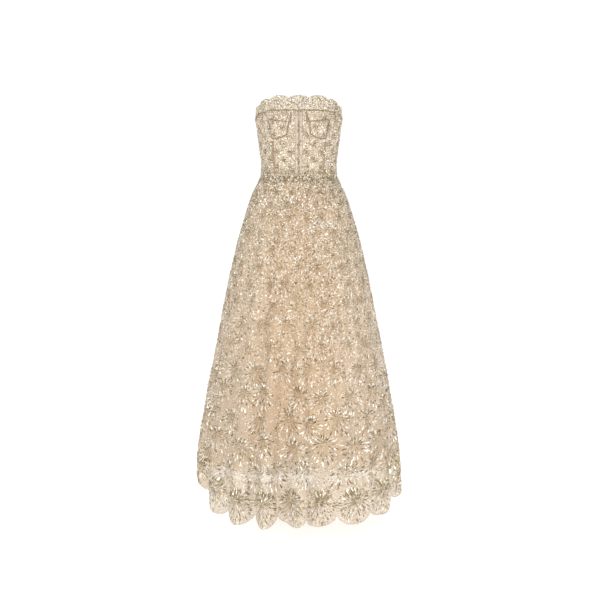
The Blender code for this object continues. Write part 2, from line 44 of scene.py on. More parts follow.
# Body sections that the cloth follows: height, half width, front depth, back depth
bodiceSections = [
    (0.000, 0.1195, 0.0880, 0.0860), (0.014, 0.1176, 0.0872, 0.0850),
    (0.050, 0.1178, 0.0900, 0.0850), (0.078, 0.1216, 0.0940, 0.0880),
    (0.110, 0.1258, 0.0985, 0.0935), (0.145, 0.1302, 0.1020, 0.0975),
    (0.180, 0.1348, 0.1040, 0.0985), (0.200, 0.1338, 0.1035, 0.0980),
    (0.250, 0.1290, 0.1000, 0.0960),
]
skirtSections = [
    (0.000, 0.1195, 0.0880, 0.0860), (-0.025, 0.1312, 0.0965, 0.0990),
    (-0.063, 0.1500, 0.1085, 0.1200), (-0.114, 0.1672, 0.1215, 0.1400),
    (-0.190, 0.1905, 0.1400, 0.1610), (-0.267, 0.2105, 0.1570, 0.1790),
    (-0.384, 0.2365, 0.1810, 0.2030), (-0.541, 0.2665, 0.2100, 0.2310),
    (-0.701, 0.2970, 0.2380, 0.2590), (-0.862, 0.3235, 0.2640, 0.2840),
    (-1.070, 0.3390, 0.2880, 0.3060),
]
# Flutes of the skirt at the hem: angle, how far the ridge or hollow stands off the section
skirtFolds = [
    (-180, -0.012), (-167, 0.014), (-154, -0.015), (-141, 0.013), (-128, -0.014), (-116, 0.014),
    (-104, -0.010), (-92, 0.000), (-79, 0.001), (-67, -0.027), (-57, -0.008), (-46, -0.027),
    (-36, 0.000), (-26, -0.026), (-17, 0.024), (-8, -0.026), (1, 0.026), (10, -0.018),
    (19, -0.030), (29, -0.016), (38, -0.014), (48, -0.021), (58, -0.007), (68, -0.014),
    (80, 0.004), (92, -0.003), (104, 0.013), (116, -0.012), (128, 0.015), (141, -0.014),
    (154, 0.013), (167, -0.013), (180, -0.012),
]
foldSpan = {"start": -0.10, "end": -1.06, "power": 1.15}
# Lowest points of the hem's scallops: angle, height
hemLine = [
    (-180, -1.048), (-140, -1.030), (-110, -0.992), (-78, -0.990), (-62, -1.040), (-42, -1.064),
    (-18, -1.056), (0, -1.051), (12, -1.060), (30, -1.064), (60, -1.053), (78, -1.026),
    (100, -1.012), (140, -1.040), (180, -1.048),
]
hemScallops = {"skirt_back_left": 5, "skirt_front": 9, "skirt_back_right": 5}
skirtPanels = {"skirt_back_left": (-180, -90), "skirt_front": (-90, 90), "skirt_back_right": (90, 180)}
hemCut = {"depth": 0.030, "round": 0.985, "measuredAt": -1.03}
# Top seam and the scalloped net above it: angle, seam height, net height
topLine = [
    (0, 0.1990, 0.0440), (28, 0.1985, 0.0450), (55, 0.1940, 0.0385), (83, 0.1790, 0.0340),
    (120, 0.1690, 0.0330), (180, 0.1660, 0.0330),
]
neckCut = {"scallops": 13, "notch": 0.0090, "round": 0.96}
# Upright front seams: height, distance from centre front
goreSeam = [
    (0.000, 0.0255), (0.060, 0.0270), (0.110, 0.0330), (0.135, 0.0355), (0.160, 0.0305),
    (0.180, 0.0250), (0.205, 0.0210),
]
princessSeam = [
    (0.000, 0.0740), (0.060, 0.0780), (0.115, 0.0830), (0.150, 0.0890), (0.174, 0.0960),
    (0.205, 0.1150),
]
sideAngle = 90.0
# Cross seams: height at the gore, at the princess seam, at the side, at the back, and sag
crossSeams = {
    "waist": (0.0000, 0.0000, 0.0000, 0.0000, 0.0000),
    "underwire": (0.1270, 0.1150, 0.1060, 0.1000, 0.0050),
    "cupSeam": (0.1640, 0.1730, 0.1430, 0.1350, 0.0010),
}
cupDome = {"height": 0.0175, "fullest": 0.42, "atTop": 0.30, "edgeBelow": 1.00, "edgeAbove": 1.90}
liningCut = {"aboveHem": 0.150, "top": -0.0012, "topGap": 0.0008, "slack": 0.026,
             "slackReached": 0.62, "foldShare": 0.30}
walls = {"bodice": 0.0020, "net": 0.0012, "lining": 0.0010}
gaps = {"seam": 0.0003, "laid": 0.0004, "cupTrim": 0.0008}
zipRoom = {"halfOpening": 0.0024, "bottom": -0.160, "closes": -0.185}

# Creases of the skirt between its flutes: angle at the hem, lean towards the waist
# in degrees, top height, foot height, depth (minus is a trough), half width in degrees
skirtCreases = [
    (-171, 2, -0.16, -0.93, -0.0040, 2.6), (-160, -2, -0.34, -1.06, 0.0030, 2.0),
    (-147, 3, -0.22, -0.78, -0.0034, 2.9), (-134, -1, -0.40, -1.04, 0.0026, 1.8),
    (-122, 2, -0.13, -0.66, -0.0038, 3.2), (-110, -2, -0.30, -1.00, 0.0032, 2.2),
    (-97, 1, -0.19, -0.85, -0.0030, 2.6), (-85, 2, -0.48, -1.02, 0.0026, 1.9),
    (-74, -2, -0.15, -0.70, -0.0036, 2.4), (-62, 1, -0.36, -1.05, 0.0034, 1.7),
    (-51, 3, -0.21, -0.90, -0.0040, 2.1), (-41, -1, -0.12, -0.58, -0.0030, 2.7),
    (-31, 1, -0.44, -1.04, 0.0030, 1.5), (-22, -2, -0.18, -0.82, -0.0044, 1.9),
    (-12, 1, -0.30, -1.06, -0.0034, 1.5), (-4, 1, -0.14, -0.74, -0.0042, 1.7),
    (6, -1, -0.26, -1.00, -0.0040, 1.6), (14, 0, -0.20, -0.62, 0.0032, 2.2),
    (24, 2, -0.38, -1.05, -0.0036, 1.8), (33, -1, -0.15, -0.88, -0.0032, 2.0),
    (43, 1, -0.28, -1.03, 0.0036, 1.9), (53, -3, -0.17, -0.67, -0.0040, 2.5),
    (63, 1, -0.42, -1.04, -0.0030, 1.7), (73, 2, -0.23, -0.95, 0.0030, 2.2),
    (86, -2, -0.14, -0.76, -0.0036, 2.8), (98, 1, -0.33, -1.00, 0.0028, 2.0),
    (110, 2, -0.20, -0.88, -0.0038, 2.4), (122, -2, -0.45, -1.03, 0.0030, 1.9),
    (134, 1, -0.16, -0.72, -0.0034, 3.0), (147, 3, -0.29, -1.05, 0.0030, 2.1),
    (160, -1, -0.13, -0.83, -0.0040, 2.6), (172, 1, -0.36, -0.98, 0.0028, 1.8),
]
# Short drag lines in the fitted bodice: angle, height, half span in degrees, half height, depth
bodiceDrags = [
    (-24, 0.016, 13, 0.0050, -0.0007), (29, 0.020, 15, 0.0055, -0.0008),
    (-31, 0.040, 10, 0.0060, -0.0005), (21, 0.052, 9, 0.0050, -0.0005),
    (-58, 0.024, 14, 0.0060, -0.0008), (61, 0.031, 12, 0.0070, -0.0007),
    (-66, 0.072, 11, 0.0060, -0.0005), (68, 0.084, 12, 0.0055, -0.0006),
    (-79, 0.118, 9, 0.0070, -0.0005), (78, 0.127, 8, 0.0060, -0.0005),
    (-112, 0.022, 16, 0.0060, -0.0008), (108, 0.030, 14, 0.0065, -0.0008),
    (-150, 0.036, 13, 0.0055, -0.0007), (154, 0.026, 12, 0.0060, -0.0008),
    (-120, 0.090, 11, 0.0070, -0.0005), (126, 0.078, 12, 0.0060, -0.0006),
]


# A smooth curve through one column of a table: a cubic with the mean slope at each row
def tableColumn(rows, column, at):
    rows = sorted(rows)
    xs = np.array([row[0] for row in rows], float)
    ys = np.array([row[column] for row in rows], float)
    slopes = np.gradient(ys, xs)
    at = np.clip(np.asarray(at, float), xs[0], xs[-1])
    low = np.clip(np.searchsorted(xs, at, side="right") - 1, 0, len(xs) - 2)
    width = xs[low + 1] - xs[low]
    t = (at - xs[low]) / width
    return ((2 * t**3 - 3 * t**2 + 1) * ys[low] + (t**3 - 2 * t**2 + t) * width * slopes[low]
            + (3 * t**2 - 2 * t**3) * ys[low + 1] + (t**3 - t**2) * width * slopes[low + 1])


def smoothStep(t):
    t = np.clip(t, 0.0, 1.0)
    return t * t * (3 - 2 * t)


def wrapped(angle):
    return (np.asarray(angle, float) + 180.0) % 360.0 - 180.0


# Ridges and hollows: a smooth step from each row of the fold table to the next
def foldPush(angle):
    angle = wrapped(angle)
    xs = np.array([row[0] for row in skirtFolds], float)
    ys = np.array([row[1] for row in skirtFolds], float)
    low = np.clip(np.searchsorted(xs, angle, side="right") - 1, 0, len(xs) - 2)
    return ys[low] + (ys[low + 1] - ys[low]) * smoothStep((angle - xs[low]) / (xs[low + 1] - xs[low]))


# A point of a section: half width times sine, depth times cosine, then out along the ellipse's normal
def ringPoint(sections, angle, height, push=0.0, inset=0.0):
    radians = np.radians(angle)
    sine, cosine = np.sin(radians), np.cos(radians)
    half = tableColumn(sections, 1, height) - inset
    front = tableColumn(sections, 2, height) - inset
    back = tableColumn(sections, 3, height) - inset
    depth = np.where(cosine > 0, front, back)
    outX, outY = sine / half, -cosine / depth
    length = np.hypot(outX, outY)
    x = half * sine + push * outX / length
    y = -depth * cosine + push * outY / length
    return np.stack(np.broadcast_arrays(x, y, height), axis=-1)


def topHeight(angle):
    return tableColumn(topLine, 1, np.abs(wrapped(angle)))


# The angle whose sine times the half width is the seam's distance from centre front
def seamAngle(rows, height):
    return np.degrees(np.arcsin(tableColumn(rows, 1, height) / tableColumn(bodiceSections, 1, height)))


def gapAngle(distance, height):
    return np.degrees(distance / tableColumn(bodiceSections, 1, height))


def uprightLine(place, height):
    if place == "centre":
        return 0.0 * height
    if place == "gore":
        return seamAngle(goreSeam, height)
    if place == "princess":
        return seamAngle(princessSeam, height)
    if place == "side":
        return sideAngle + 0.0 * height
    return 180.0 - gapAngle(zipRoom["halfOpening"], height)


# Angles across a panel: a straight share of the way between its two seams, less half the gap
def panelAngle(left, right, share, height):
    halfGap = gapAngle(gaps["seam"] / 2, height)
    start = uprightLine(left, height) + halfGap
    end = uprightLine(right, height) - (0 if right == "back" else halfGap)
    return start + (end - start) * share


# A cross seam: straight between its two ends, less a parabola of its sag; the top seam is its own line
def crossLine(seam, left, right, share):
    if seam == "top":
        height = 0.19 + 0 * share
        for _ in range(6):
            height = topHeight(panelAngle(left, right, share, height))
        return height
    place = {"centre": 0, "gore": 0, "princess": 1, "side": 2, "back": 3}
    low, high = crossSeams[seam][place[left]], crossSeams[seam][place[right]]
    sag = crossSeams[seam][4] if right == "princess" else 0
    return low + (high - low) * share - sag * 4 * share * (1 - share)


# The cup's dome: a quarter circle up from the underwire, a soft fall to the top, zero at its two seams
def cupPush(angle, height):
    angle = np.abs(wrapped(angle))
    start, end = seamAngle(goreSeam, height), seamAngle(princessSeam, height)
    share = np.clip((angle - start) / (end - start), 0, 1)
    foot = crossLine("underwire", "gore", "princess", share)
    climb = np.clip((height - foot) / (topHeight(angle) - foot), 0, 1.5)
    full = cupDome["fullest"]
    rising = np.sqrt(np.clip(1 - (1 - climb / full) ** 2, 0, 1))
    falling = cupDome["atTop"] + (1 - cupDome["atTop"]) * smoothStep((1.25 - climb) / (1.25 - full))
    edge = cupDome["edgeBelow"] + (cupDome["edgeAbove"] - cupDome["edgeBelow"]) * smoothStep(climb)
    across = np.clip(4 * share * (1 - share), 1e-9, 1) ** edge
    return cupDome["height"] * across * np.where(climb < full, rising, falling)


# A drag line is a bell across its height times a bell along its span
def dragPush(angle, height):
    total = 0.0 * (angle + height)
    for at, level, span, tall, depth in bodiceDrags:
        total = total + depth * np.exp(-(wrapped(angle - at) / span) ** 2 - ((height - level) / tall) ** 2)
    return total


def bodiceSurface(angle, height):
    push = np.where(np.abs(wrapped(angle)) < 75, cupPush(angle, height), 0.0)
    return ringPoint(bodiceSections, angle, height, push + dragPush(angle, height))


def foldGrowth(height):
    share = np.clip((height - foldSpan["start"]) / (foldSpan["end"] - foldSpan["start"]), 0, 1.1)
    return share ** foldSpan["power"]


# A crease is a bell across its width, faded in below its top and out above its foot
def creasePush(angle, height):
    total = 0.0 * (angle + height)
    for at, lean, top, foot, depth, width in skirtCreases:
        down = (height - top) / (foot - top)
        fade = smoothStep(down / 0.35) * smoothStep((1.15 - down) / 0.40)
        centre = at + lean * (1 - np.clip(down, 0, 1))
        total = total + depth * fade * np.exp(-(wrapped(angle - centre) / width) ** 2)
    return total * (1 + np.clip(-height, 0, 0.9) / 0.9)


def skirtSurface(angle, height):
    push = foldPush(angle) * foldGrowth(height) + creasePush(angle, height)
    return ringPoint(skirtSections, angle, height, push)


# The lining: the skirt's own form drawn in by its slack, with a share of the flutes and soft creases
def liningSurface(angle, height):
    slack = liningCut["slack"] * smoothStep(-height / liningCut["slackReached"]) ** 0.8
    inset = walls["net"] + liningCut["topGap"] + slack
    push = liningCut["foldShare"] * foldPush(angle) * foldGrowth(height)
    return ringPoint(skirtSections, angle, height, push + 0.6 * creasePush(angle + 5.0, height), inset)


# Point, outward normal, and unit directions round and up the cloth, from small steps each way
def clothFrame(surface, angle, height):
    turn, climb = 0.25, 0.0012
    point = surface(angle, height)
    across = surface(angle + turn, height) - surface(angle - turn, height)
    up = surface(angle, height + climb) - surface(angle, height - climb)
    normal = np.cross(across, up)
    normal /= np.linalg.norm(normal, axis=-1, keepdims=True)
    across /= np.linalg.norm(across, axis=-1, keepdims=True)
    return point, normal, across, np.cross(normal, across)


# Angles from start to end that cut the fluted ring at a height into equal lengths of cloth
def evenAngles(start, end, shares, height):
    fine = np.linspace(start, end, 900)
    points = ringPoint(skirtSections, fine, np.full(900, height), foldPush(fine) * foldGrowth(height))
    run = np.concatenate([[0], np.cumsum(np.linalg.norm(np.diff(points, axis=0), axis=1))])
    return np.interp(np.asarray(shares) * run[-1], run, fine)


# A round notch between scallops: an ellipse's fall across the scallop, over its fall at the ends
def notchDepth(depth, roundness, across):
    return depth * (1 - np.sqrt(1 - roundness * across**2)) / (1 - math.sqrt(1 - roundness))


def hemPlainAt(angle):
    return tableColumn(hemLine, 1, wrapped(angle))


def hemHeight(angle, across, depth):
    return hemPlainAt(angle) + notchDepth(depth, hemCut["round"], across)


# The net's scalloped top edge: the seam plus the net's height less a round notch
def neckEdgeHeight(angle):
    across = (wrapped(angle) / (360.0 / neckCut["scallops"]) + 0.5) % 1.0 * 2 - 1
    notch = notchDepth(neckCut["notch"], neckCut["round"], across)
    return topHeight(angle) + tableColumn(topLine, 2, np.abs(wrapped(angle))) - notch


# Shader nodes, made in one line each: sockets are linked or set by their name or place
def addNode(tree, kind, inputs=None, **settings):
    made = tree.nodes.new(kind)
    for key, value in settings.items():
        setattr(made, key, value)
    for socket, value in (inputs or {}).items():
        if isinstance(value, bpy.types.NodeSocket):
            tree.links.new(value, made.inputs[socket])
        else:
            made.inputs[socket].default_value = value
    return made


def mathNode(tree, operation, first, second=0.0, third=0.0):
    return addNode(tree, "ShaderNodeMath", {0: first, 1: second, 2: third}, operation=operation).outputs[0]


# A node group: a Vector and the named inputs with their values, None for a colour, and its outputs
def newGroup(name, inputs, outputs):
    tree = bpy.data.node_groups.new(name, "ShaderNodeTree")
    kinds = {"Vector": "NodeSocketVector", "Color": "NodeSocketColor"}
    for direction, sockets in (("INPUT", {"Vector": None, **inputs}), ("OUTPUT", dict.fromkeys(outputs))):
        for socketName, value in sockets.items():
            socket = tree.interface.new_socket(socketName, in_out=direction,
                                               socket_type=kinds.get(socketName, "NodeSocketFloat"))
            if value is not None:
                socket.default_value = value
    return tree, tree.nodes.new("NodeGroupInput").outputs, tree.nodes.new("NodeGroupOutput").inputs


# Uneven colour: a broad noise and a fine noise lighten and darken one colour
def makeShadeGroup():
    tree, start, end = newGroup("clothShade", {"Color": None, "Broad": 9.0, "Fine": 160.0, "Spread": 0.2},
                                ["Color"])
    noises = [addNode(tree, "ShaderNodeTexNoise", {"Vector": start["Vector"], "Scale": start[scale],
                                                   "Detail": detail}).outputs[0]
              for scale, detail in (("Broad", 2.0), ("Fine", 3.0))]
    both = mathNode(tree, "ADD", *noises)
    swing = mathNode(tree, "MULTIPLY", mathNode(tree, "SUBTRACT", both, 1.0), start["Spread"])
    scale = mathNode(tree, "ADD", swing, 1.0)
    out = addNode(tree, "ShaderNodeVectorMath", {0: start["Color"], 1: scale}, operation="MULTIPLY")
    tree.links.new(out.outputs[0], end["Color"])
    return tree


# Net: hexagon-like cells, whose edges are thread; Thread is 1 on a thread and 0 in a hole
def makeNetGroup():
    tree, start, end = newGroup("netMesh", {"Cells": 620.0, "Width": 0.16}, ["Thread"])
    cells = addNode(tree, "ShaderNodeTexVoronoi", {"Vector": start["Vector"], "Scale": start["Cells"],
                                                   "Randomness": 0.35}, feature="DISTANCE_TO_EDGE")
    edge = mathNode(tree, "DIVIDE", cells.outputs["Distance"], start["Width"])
    thread = mathNode(tree, "SUBTRACT", 1.0, mathNode(tree, "MINIMUM", edge, 1.0))
    tree.links.new(thread, end["Thread"])
    return tree


# Seed beads too small to model: round domes in random cells, and a tone for each cell
def makeSeedGroup():
    tree, start, end = newGroup("seedGrain", {"Cells": 420.0, "Size": 0.42}, ["Height", "Mask", "Tone"])
    cells = addNode(tree, "ShaderNodeTexVoronoi", {"Vector": start["Vector"], "Scale": start["Cells"],
                                                   "Randomness": 1.0}).outputs
    share = mathNode(tree, "DIVIDE", cells["Distance"], start["Size"])
    dome = mathNode(tree, "SUBTRACT", 1.0, mathNode(tree, "MULTIPLY", share, share))
    tone = addNode(tree, "ShaderNodeSeparateColor", {"Color": cells["Color"]}).outputs["Red"]
    for socket, value in (("Height", mathNode(tree, "MAXIMUM", dome, 0.0)),
                          ("Mask", mathNode(tree, "GREATER_THAN", dome, 0.0)), ("Tone", tone)):
        tree.links.new(value, end[socket])
    return tree


# Plain weave: the product of two sine waves, one along each thread direction
def makeWeaveGroup():
    tree, start, end = newGroup("plainWeave", {"Threads": 1800.0}, ["Height"])
    parts = addNode(tree, "ShaderNodeSeparateXYZ", {"Vector": start["Vector"]}).outputs
    waves = [mathNode(tree, "SINE", mathNode(tree, "MULTIPLY", parts[axis], start["Threads"]))
             for axis in ("X", "Y")]
    tree.links.new(mathNode(tree, "MULTIPLY", *waves), end["Height"])
    return tree


# Stitches along a strip: dashes near both long edges, worked out from metres along and share across
def makeStitchGroup():
    tree, start, end = newGroup("edgeStitch", {"Pitch": 0.0026, "Inset": 0.16, "Thickness": 0.035,
                                               "Dash": 0.66}, ["Mask"])
    parts = addNode(tree, "ShaderNodeSeparateXYZ", {"Vector": start["Vector"]}).outputs
    fromMiddle = mathNode(tree, "ABSOLUTE", mathNode(tree, "SUBTRACT", parts["X"], 0.5))
    fromRow = mathNode(tree, "SUBTRACT", mathNode(tree, "SUBTRACT", 0.5, fromMiddle), start["Inset"])
    near = mathNode(tree, "LESS_THAN", mathNode(tree, "ABSOLUTE", fromRow), start["Thickness"])
    along = mathNode(tree, "FRACT", mathNode(tree, "DIVIDE", parts["Y"], start["Pitch"]))
    dash = mathNode(tree, "LESS_THAN", along, start["Dash"])
    tree.links.new(mathNode(tree, "MULTIPLY", near, dash), end["Mask"])
    return tree


groups = {"shade": makeShadeGroup(), "net": makeNetGroup(), "seed": makeSeedGroup(),
          "weave": makeWeaveGroup(), "stitch": makeStitchGroup()}


def newMaterial(name, color, roughness, metallic=0.0, **sockets):
    made = bpy.data.materials.new(name)
    made.use_nodes = True
    shader = made.node_tree.nodes["Principled BSDF"]
    for socket, value in {"Base Color": (*color, 1), "Roughness": roughness, "Metallic": metallic,
                          **sockets}.items():
        shader.inputs[socket].default_value = value
    return made, made.node_tree, shader


def useGroup(tree, which, inputs):
    return addNode(tree, "ShaderNodeGroup", inputs, node_tree=groups[which]).outputs


def mixColor(tree, share, first, second):
    return addNode(tree, "ShaderNodeMix", {0: share, 6: first, 7: second}, data_type="RGBA").outputs[2]


# A ramp through colours, or through single values
def colorRamp(tree, value, stops):
    ramp = addNode(tree, "ShaderNodeValToRGB", {"Fac": value})
    elements = ramp.color_ramp.elements
    while len(elements) < len(stops):
        elements.new(0.5)
    for element, (place, color) in zip(elements, stops):
        element.position = place
        element.color = (*color, 1) if isinstance(color, tuple) else (color, color, color, 1)
    return ramp.outputs["Color"]


def bumpFrom(tree, shader, height, strength, distance):
    bump = addNode(tree, "ShaderNodeBump", {"Height": height, "Strength": strength, "Distance": distance})
    tree.links.new(bump.outputs["Normal"], shader.inputs["Normal"])


def clothUv(tree):
    return addNode(tree, "ShaderNodeUVMap", uv_map="cloth").outputs["UV"]


def objectPlace(tree):
    return addNode(tree, "ShaderNodeTexCoord").outputs["Object"]


def toneOf(tree):
    return addNode(tree, "ShaderNodeAttribute", attribute_name="tone").outputs["Fac"]


# A colour made uneven by the shared group: uneven holds its broad scale, fine scale and spread
def unevenColor(tree, vector, color, uneven):
    color = (*color, 1) if isinstance(color, tuple) else color
    return useGroup(tree, "shade", dict(zip(("Broad", "Fine", "Spread"), uneven), Vector=vector,
                                        Color=color))["Color"]


seedStops = [(0.0, (0.24, 0.19, 0.11)), (0.16, (0.40, 0.31, 0.18)), (0.38, (0.68, 0.56, 0.38)),
             (0.70, (0.92, 0.88, 0.79))]
netLook = {"color": (0.67, 0.535, 0.385), "roughness": 0.5, "uneven": (12.0, 240.0, 0.5),
           "cells": 620.0, "threadWidth": 0.17, "thread": 0.48, "seedCells": 250.0, "seedSize": 0.40,
           "lowest": -1.1, "highest": 0.3, "bump": (0.5, 0.0004)}
# Over the height from lowest to highest: the share of the cells that hold a seed bead, and the cover
# of the holes, which are closer where the lining stops
seedByHeight = [(0.0, 0.62), (0.10, 0.50), (0.155, 0.16), (0.34, 0.14), (0.48, 0.30), (0.70, 0.46),
                (1.0, 0.92)]
holeByHeight = [(0.0, 0.26), (0.055, 0.30), (0.080, 0.50), (0.112, 0.50), (0.145, 0.26), (1.0, 0.26)]


# Beaded net: seed beads are opaque, threads partly so, and the holes between them more open
def makeNetMaterial(name, look):
    made, tree, shader = newMaterial(name, look["color"], look["roughness"])
    uv = clothUv(tree)
    shade = unevenColor(tree, uv, look["color"], look["uneven"])
    thread = useGroup(tree, "net", {"Vector": uv, "Cells": look["cells"],
                                    "Width": look["threadWidth"]})["Thread"]
    seeds = useGroup(tree, "seed", {"Vector": uv, "Cells": look["seedCells"], "Size": look["seedSize"]})
    place = addNode(tree, "ShaderNodeSeparateXYZ", {"Vector": objectPlace(tree)}).outputs["Z"]
    tall = look["highest"] - look["lowest"]
    level = mathNode(tree, "MULTIPLY_ADD", place, 1 / tall, -look["lowest"] / tall)
    share, hole = (colorRamp(tree, level, stops) for stops in (seedByHeight, holeByHeight))
    shown = mathNode(tree, "MULTIPLY", seeds["Mask"], mathNode(tree, "LESS_THAN", seeds["Tone"], share))
    beads = colorRamp(tree, mathNode(tree, "DIVIDE", seeds["Tone"], share), seedStops)
    tree.links.new(mixColor(tree, shown, shade, beads), shader.inputs["Base Color"])
    cover = mathNode(tree, "ADD", mathNode(tree, "MULTIPLY_ADD", thread, look["thread"], hole), shown)
    tree.links.new(mathNode(tree, "MINIMUM", cover, 1.0), shader.inputs["Alpha"])
    bumpFrom(tree, shader, mathNode(tree, "ADD", thread, seeds["Height"]), *look["bump"])
    return made


satinLook = {"color": (0.45, 0.345, 0.245), "roughness": 0.45, "sheen": 0.15, "uneven": (22.0, 260.0, 0.45),
             "threads": 6000.0, "weaveDepth": 0.06, "seedCells": 250.0, "seedSize": 0.38,
             "bump": (0.6, 0.0006)}


# Beaded satin: an uneven satin ground with a weave, under seed beads of several tones
def makeSatinMaterial(name, look):
    made, tree, shader = newMaterial(name, look["color"], look["roughness"],
                                     **{"Sheen Weight": look["sheen"]})
    uv = clothUv(tree)
    shade = unevenColor(tree, uv, look["color"], look["uneven"])
    seeds = useGroup(tree, "seed", {"Vector": uv, "Cells": look["seedCells"], "Size": look["seedSize"]})
    weave = useGroup(tree, "weave", {"Vector": uv, "Threads": look["threads"]})["Height"]
    beads = colorRamp(tree, seeds["Tone"], seedStops)
    tree.links.new(mixColor(tree, seeds["Mask"], shade, beads), shader.inputs["Base Color"])
    height = mathNode(tree, "MULTIPLY_ADD", weave, look["weaveDepth"], seeds["Height"])
    bumpFrom(tree, shader, height, *look["bump"])
    return made


liningLook = {"color": (0.86, 0.54, 0.245), "pale": (0.97, 0.86, 0.73), "roughness": 0.46, "sheen": 0.25,
              "uneven": (7.0, 90.0, 0.22), "threads": 7000.0, "bump": (0.25, 0.0002), "tall": 1.1,
              "wide": 0.3, "cover": [(0.0, 0.30), (0.45, 0.62), (1.0, 1.0)]}
# Share of the pale colour, up the height from 1.1 m below the waist and out over 0.3 m to either side
paleByHeight = [(0.0, 1.0), (0.180, 1.0), (0.245, 0.45), (0.32, 0.0), (0.62, 0.0), (1.0, 0.0)]
paleByWidth = [(0.0, 0.0), (0.27, 0.08), (0.52, 0.70), (1.0, 1.0)]


# Lining silk: a fine weave under broad uneven colour, deepest down the middle and paler towards the
# sides and the hem, where it is also sheer
def makeLiningMaterial(name, look):
    made, tree, shader = newMaterial(name, look["color"], look["roughness"],
                                     **{"Sheen Weight": look["sheen"]})
    uv = clothUv(tree)
    place = addNode(tree, "ShaderNodeSeparateXYZ", {"Vector": objectPlace(tree)}).outputs
    level = colorRamp(tree, mathNode(tree, "MULTIPLY_ADD", place["Z"], 1 / look["tall"], 1.0), paleByHeight)
    out = mathNode(tree, "MULTIPLY", mathNode(tree, "ABSOLUTE", place["X"]), 1 / look["wide"])
    pale = mathNode(tree, "MAXIMUM", level, colorRamp(tree, out, paleByWidth))
    ground = mixColor(tree, pale, (*look["color"], 1), (*look["pale"], 1))
    tree.links.new(unevenColor(tree, uv, ground, look["uneven"]), shader.inputs["Base Color"])
    tree.links.new(colorRamp(tree, toneOf(tree), look["cover"]), shader.inputs["Alpha"])
    weave = useGroup(tree, "weave", {"Vector": uv, "Threads": look["threads"]})["Height"]
    bumpFrom(tree, shader, weave, *look["bump"])
    return made


tapeLook = {"roughness": 0.40, "sheen": 0.2, "uneven": (40.0, 500.0, 0.35), "threads": 5200.0,
            "weaveDepth": 0.15, "bump": (0.5, 0.0003)}


# Satin tape: uneven colour, a cross weave, and a darker row of stitches near both edges
def makeTapeMaterial(name, color, stitchColor, look=tapeLook):
    made, tree, shader = newMaterial(name, color, look["roughness"], **{"Sheen Weight": look["sheen"]})
    uv, place = clothUv(tree), objectPlace(tree)
    shade = unevenColor(tree, place, color, look["uneven"])
    stitches = useGroup(tree, "stitch", {"Vector": uv})["Mask"]
    tree.links.new(mixColor(tree, stitches, shade, (*stitchColor, 1)), shader.inputs["Base Color"])
    weave = useGroup(tree, "weave", {"Vector": place, "Threads": look["threads"]})["Height"]
    weave = mathNode(tree, "MULTIPLY", weave, look["weaveDepth"])
    bumpFrom(tree, shader, mathNode(tree, "SUBTRACT", weave, stitches), *look["bump"])
    return made


# Sequins and beads: the piece's tone attribute picks the foil's colour, with fine uneven wear; the darkest
# tones are partly painted shade, the palest partly painted glints
def makeFoilMaterial(name, stops, roughness, metallic, uneven=(30.0, 700.0, 0.35), **sockets):
    made, tree, shader = newMaterial(name, stops[-1][1], roughness, metallic, **sockets)
    foil = colorRamp(tree, toneOf(tree), stops)
    tree.links.new(unevenColor(tree, objectPlace(tree), foil, uneven), shader.inputs["Base Color"])
    return made


metalLook = {"color": (0.66, 0.58, 0.42), "roughness": 0.3, "uneven": (220.0, 2600.0, 0.3),
             "wearScale": 900.0, "wornRoughness": 0.35, "leastRoughness": 0.16, "bump": (0.2, 0.0001)}


# Zip metal: pale brass with uneven colour and worn patches
def makeMetalMaterial(name, look):
    made, tree, shader = newMaterial(name, look["color"], look["roughness"], 1.0)
    place = objectPlace(tree)
    tree.links.new(unevenColor(tree, place, look["color"], look["uneven"]), shader.inputs["Base Color"])
    wear = addNode(tree, "ShaderNodeTexNoise", {"Vector": place, "Scale": look["wearScale"],
                                                "Detail": 2.0}).outputs[0]
    tree.links.new(mathNode(tree, "MULTIPLY_ADD", wear, look["wornRoughness"], look["leastRoughness"]),
                   shader.inputs["Roughness"])
    bumpFrom(tree, shader, wear, *look["bump"])
    return made


# Foil and bead colours from dark to pale: gold and champagne foil in the middle; the darkest are partly dark
# foil and partly painted shade at the pieces' edges, the palest partly silver and partly painted glints
foilShadeAndGlintStops = [(0.0, (0.145, 0.11, 0.05)), (0.22, (0.30, 0.235, 0.12)), (0.42, (0.60, 0.46, 0.255)),
             (0.64, (0.84, 0.75, 0.58)), (0.85, (0.99, 0.955, 0.87))]
beadShadeAndGlintStops = [(0.0, (0.145, 0.108, 0.045)), (0.22, (0.31, 0.235, 0.11)), (0.42, (0.57, 0.43, 0.23)),
             (0.66, (0.83, 0.725, 0.54)), (0.9, (0.98, 0.935, 0.83))]
looks = {
    "net": makeNetMaterial("beadedNet", netLook),
    "satin": makeSatinMaterial("beadedSatin", satinLook),
    "lining": makeLiningMaterial("liningSilk", liningLook),
    "tape": makeTapeMaterial("seamTape", (0.30, 0.20, 0.115), (0.19, 0.125, 0.07)),
    "paleTape": makeTapeMaterial("paleTape", (0.49, 0.40, 0.31), (0.33, 0.26, 0.19)),
    "foil": makeFoilMaterial("sequinFoil", foilShadeAndGlintStops, 0.26, 0.45),
    "bead": makeFoilMaterial("glassBead", beadShadeAndGlintStops, 0.18, 0.15, **{"Coat Weight": 0.6}),
    "metal": makeMetalMaterial("zipMetal", metalLook),
}
print("materials made:", len(looks))


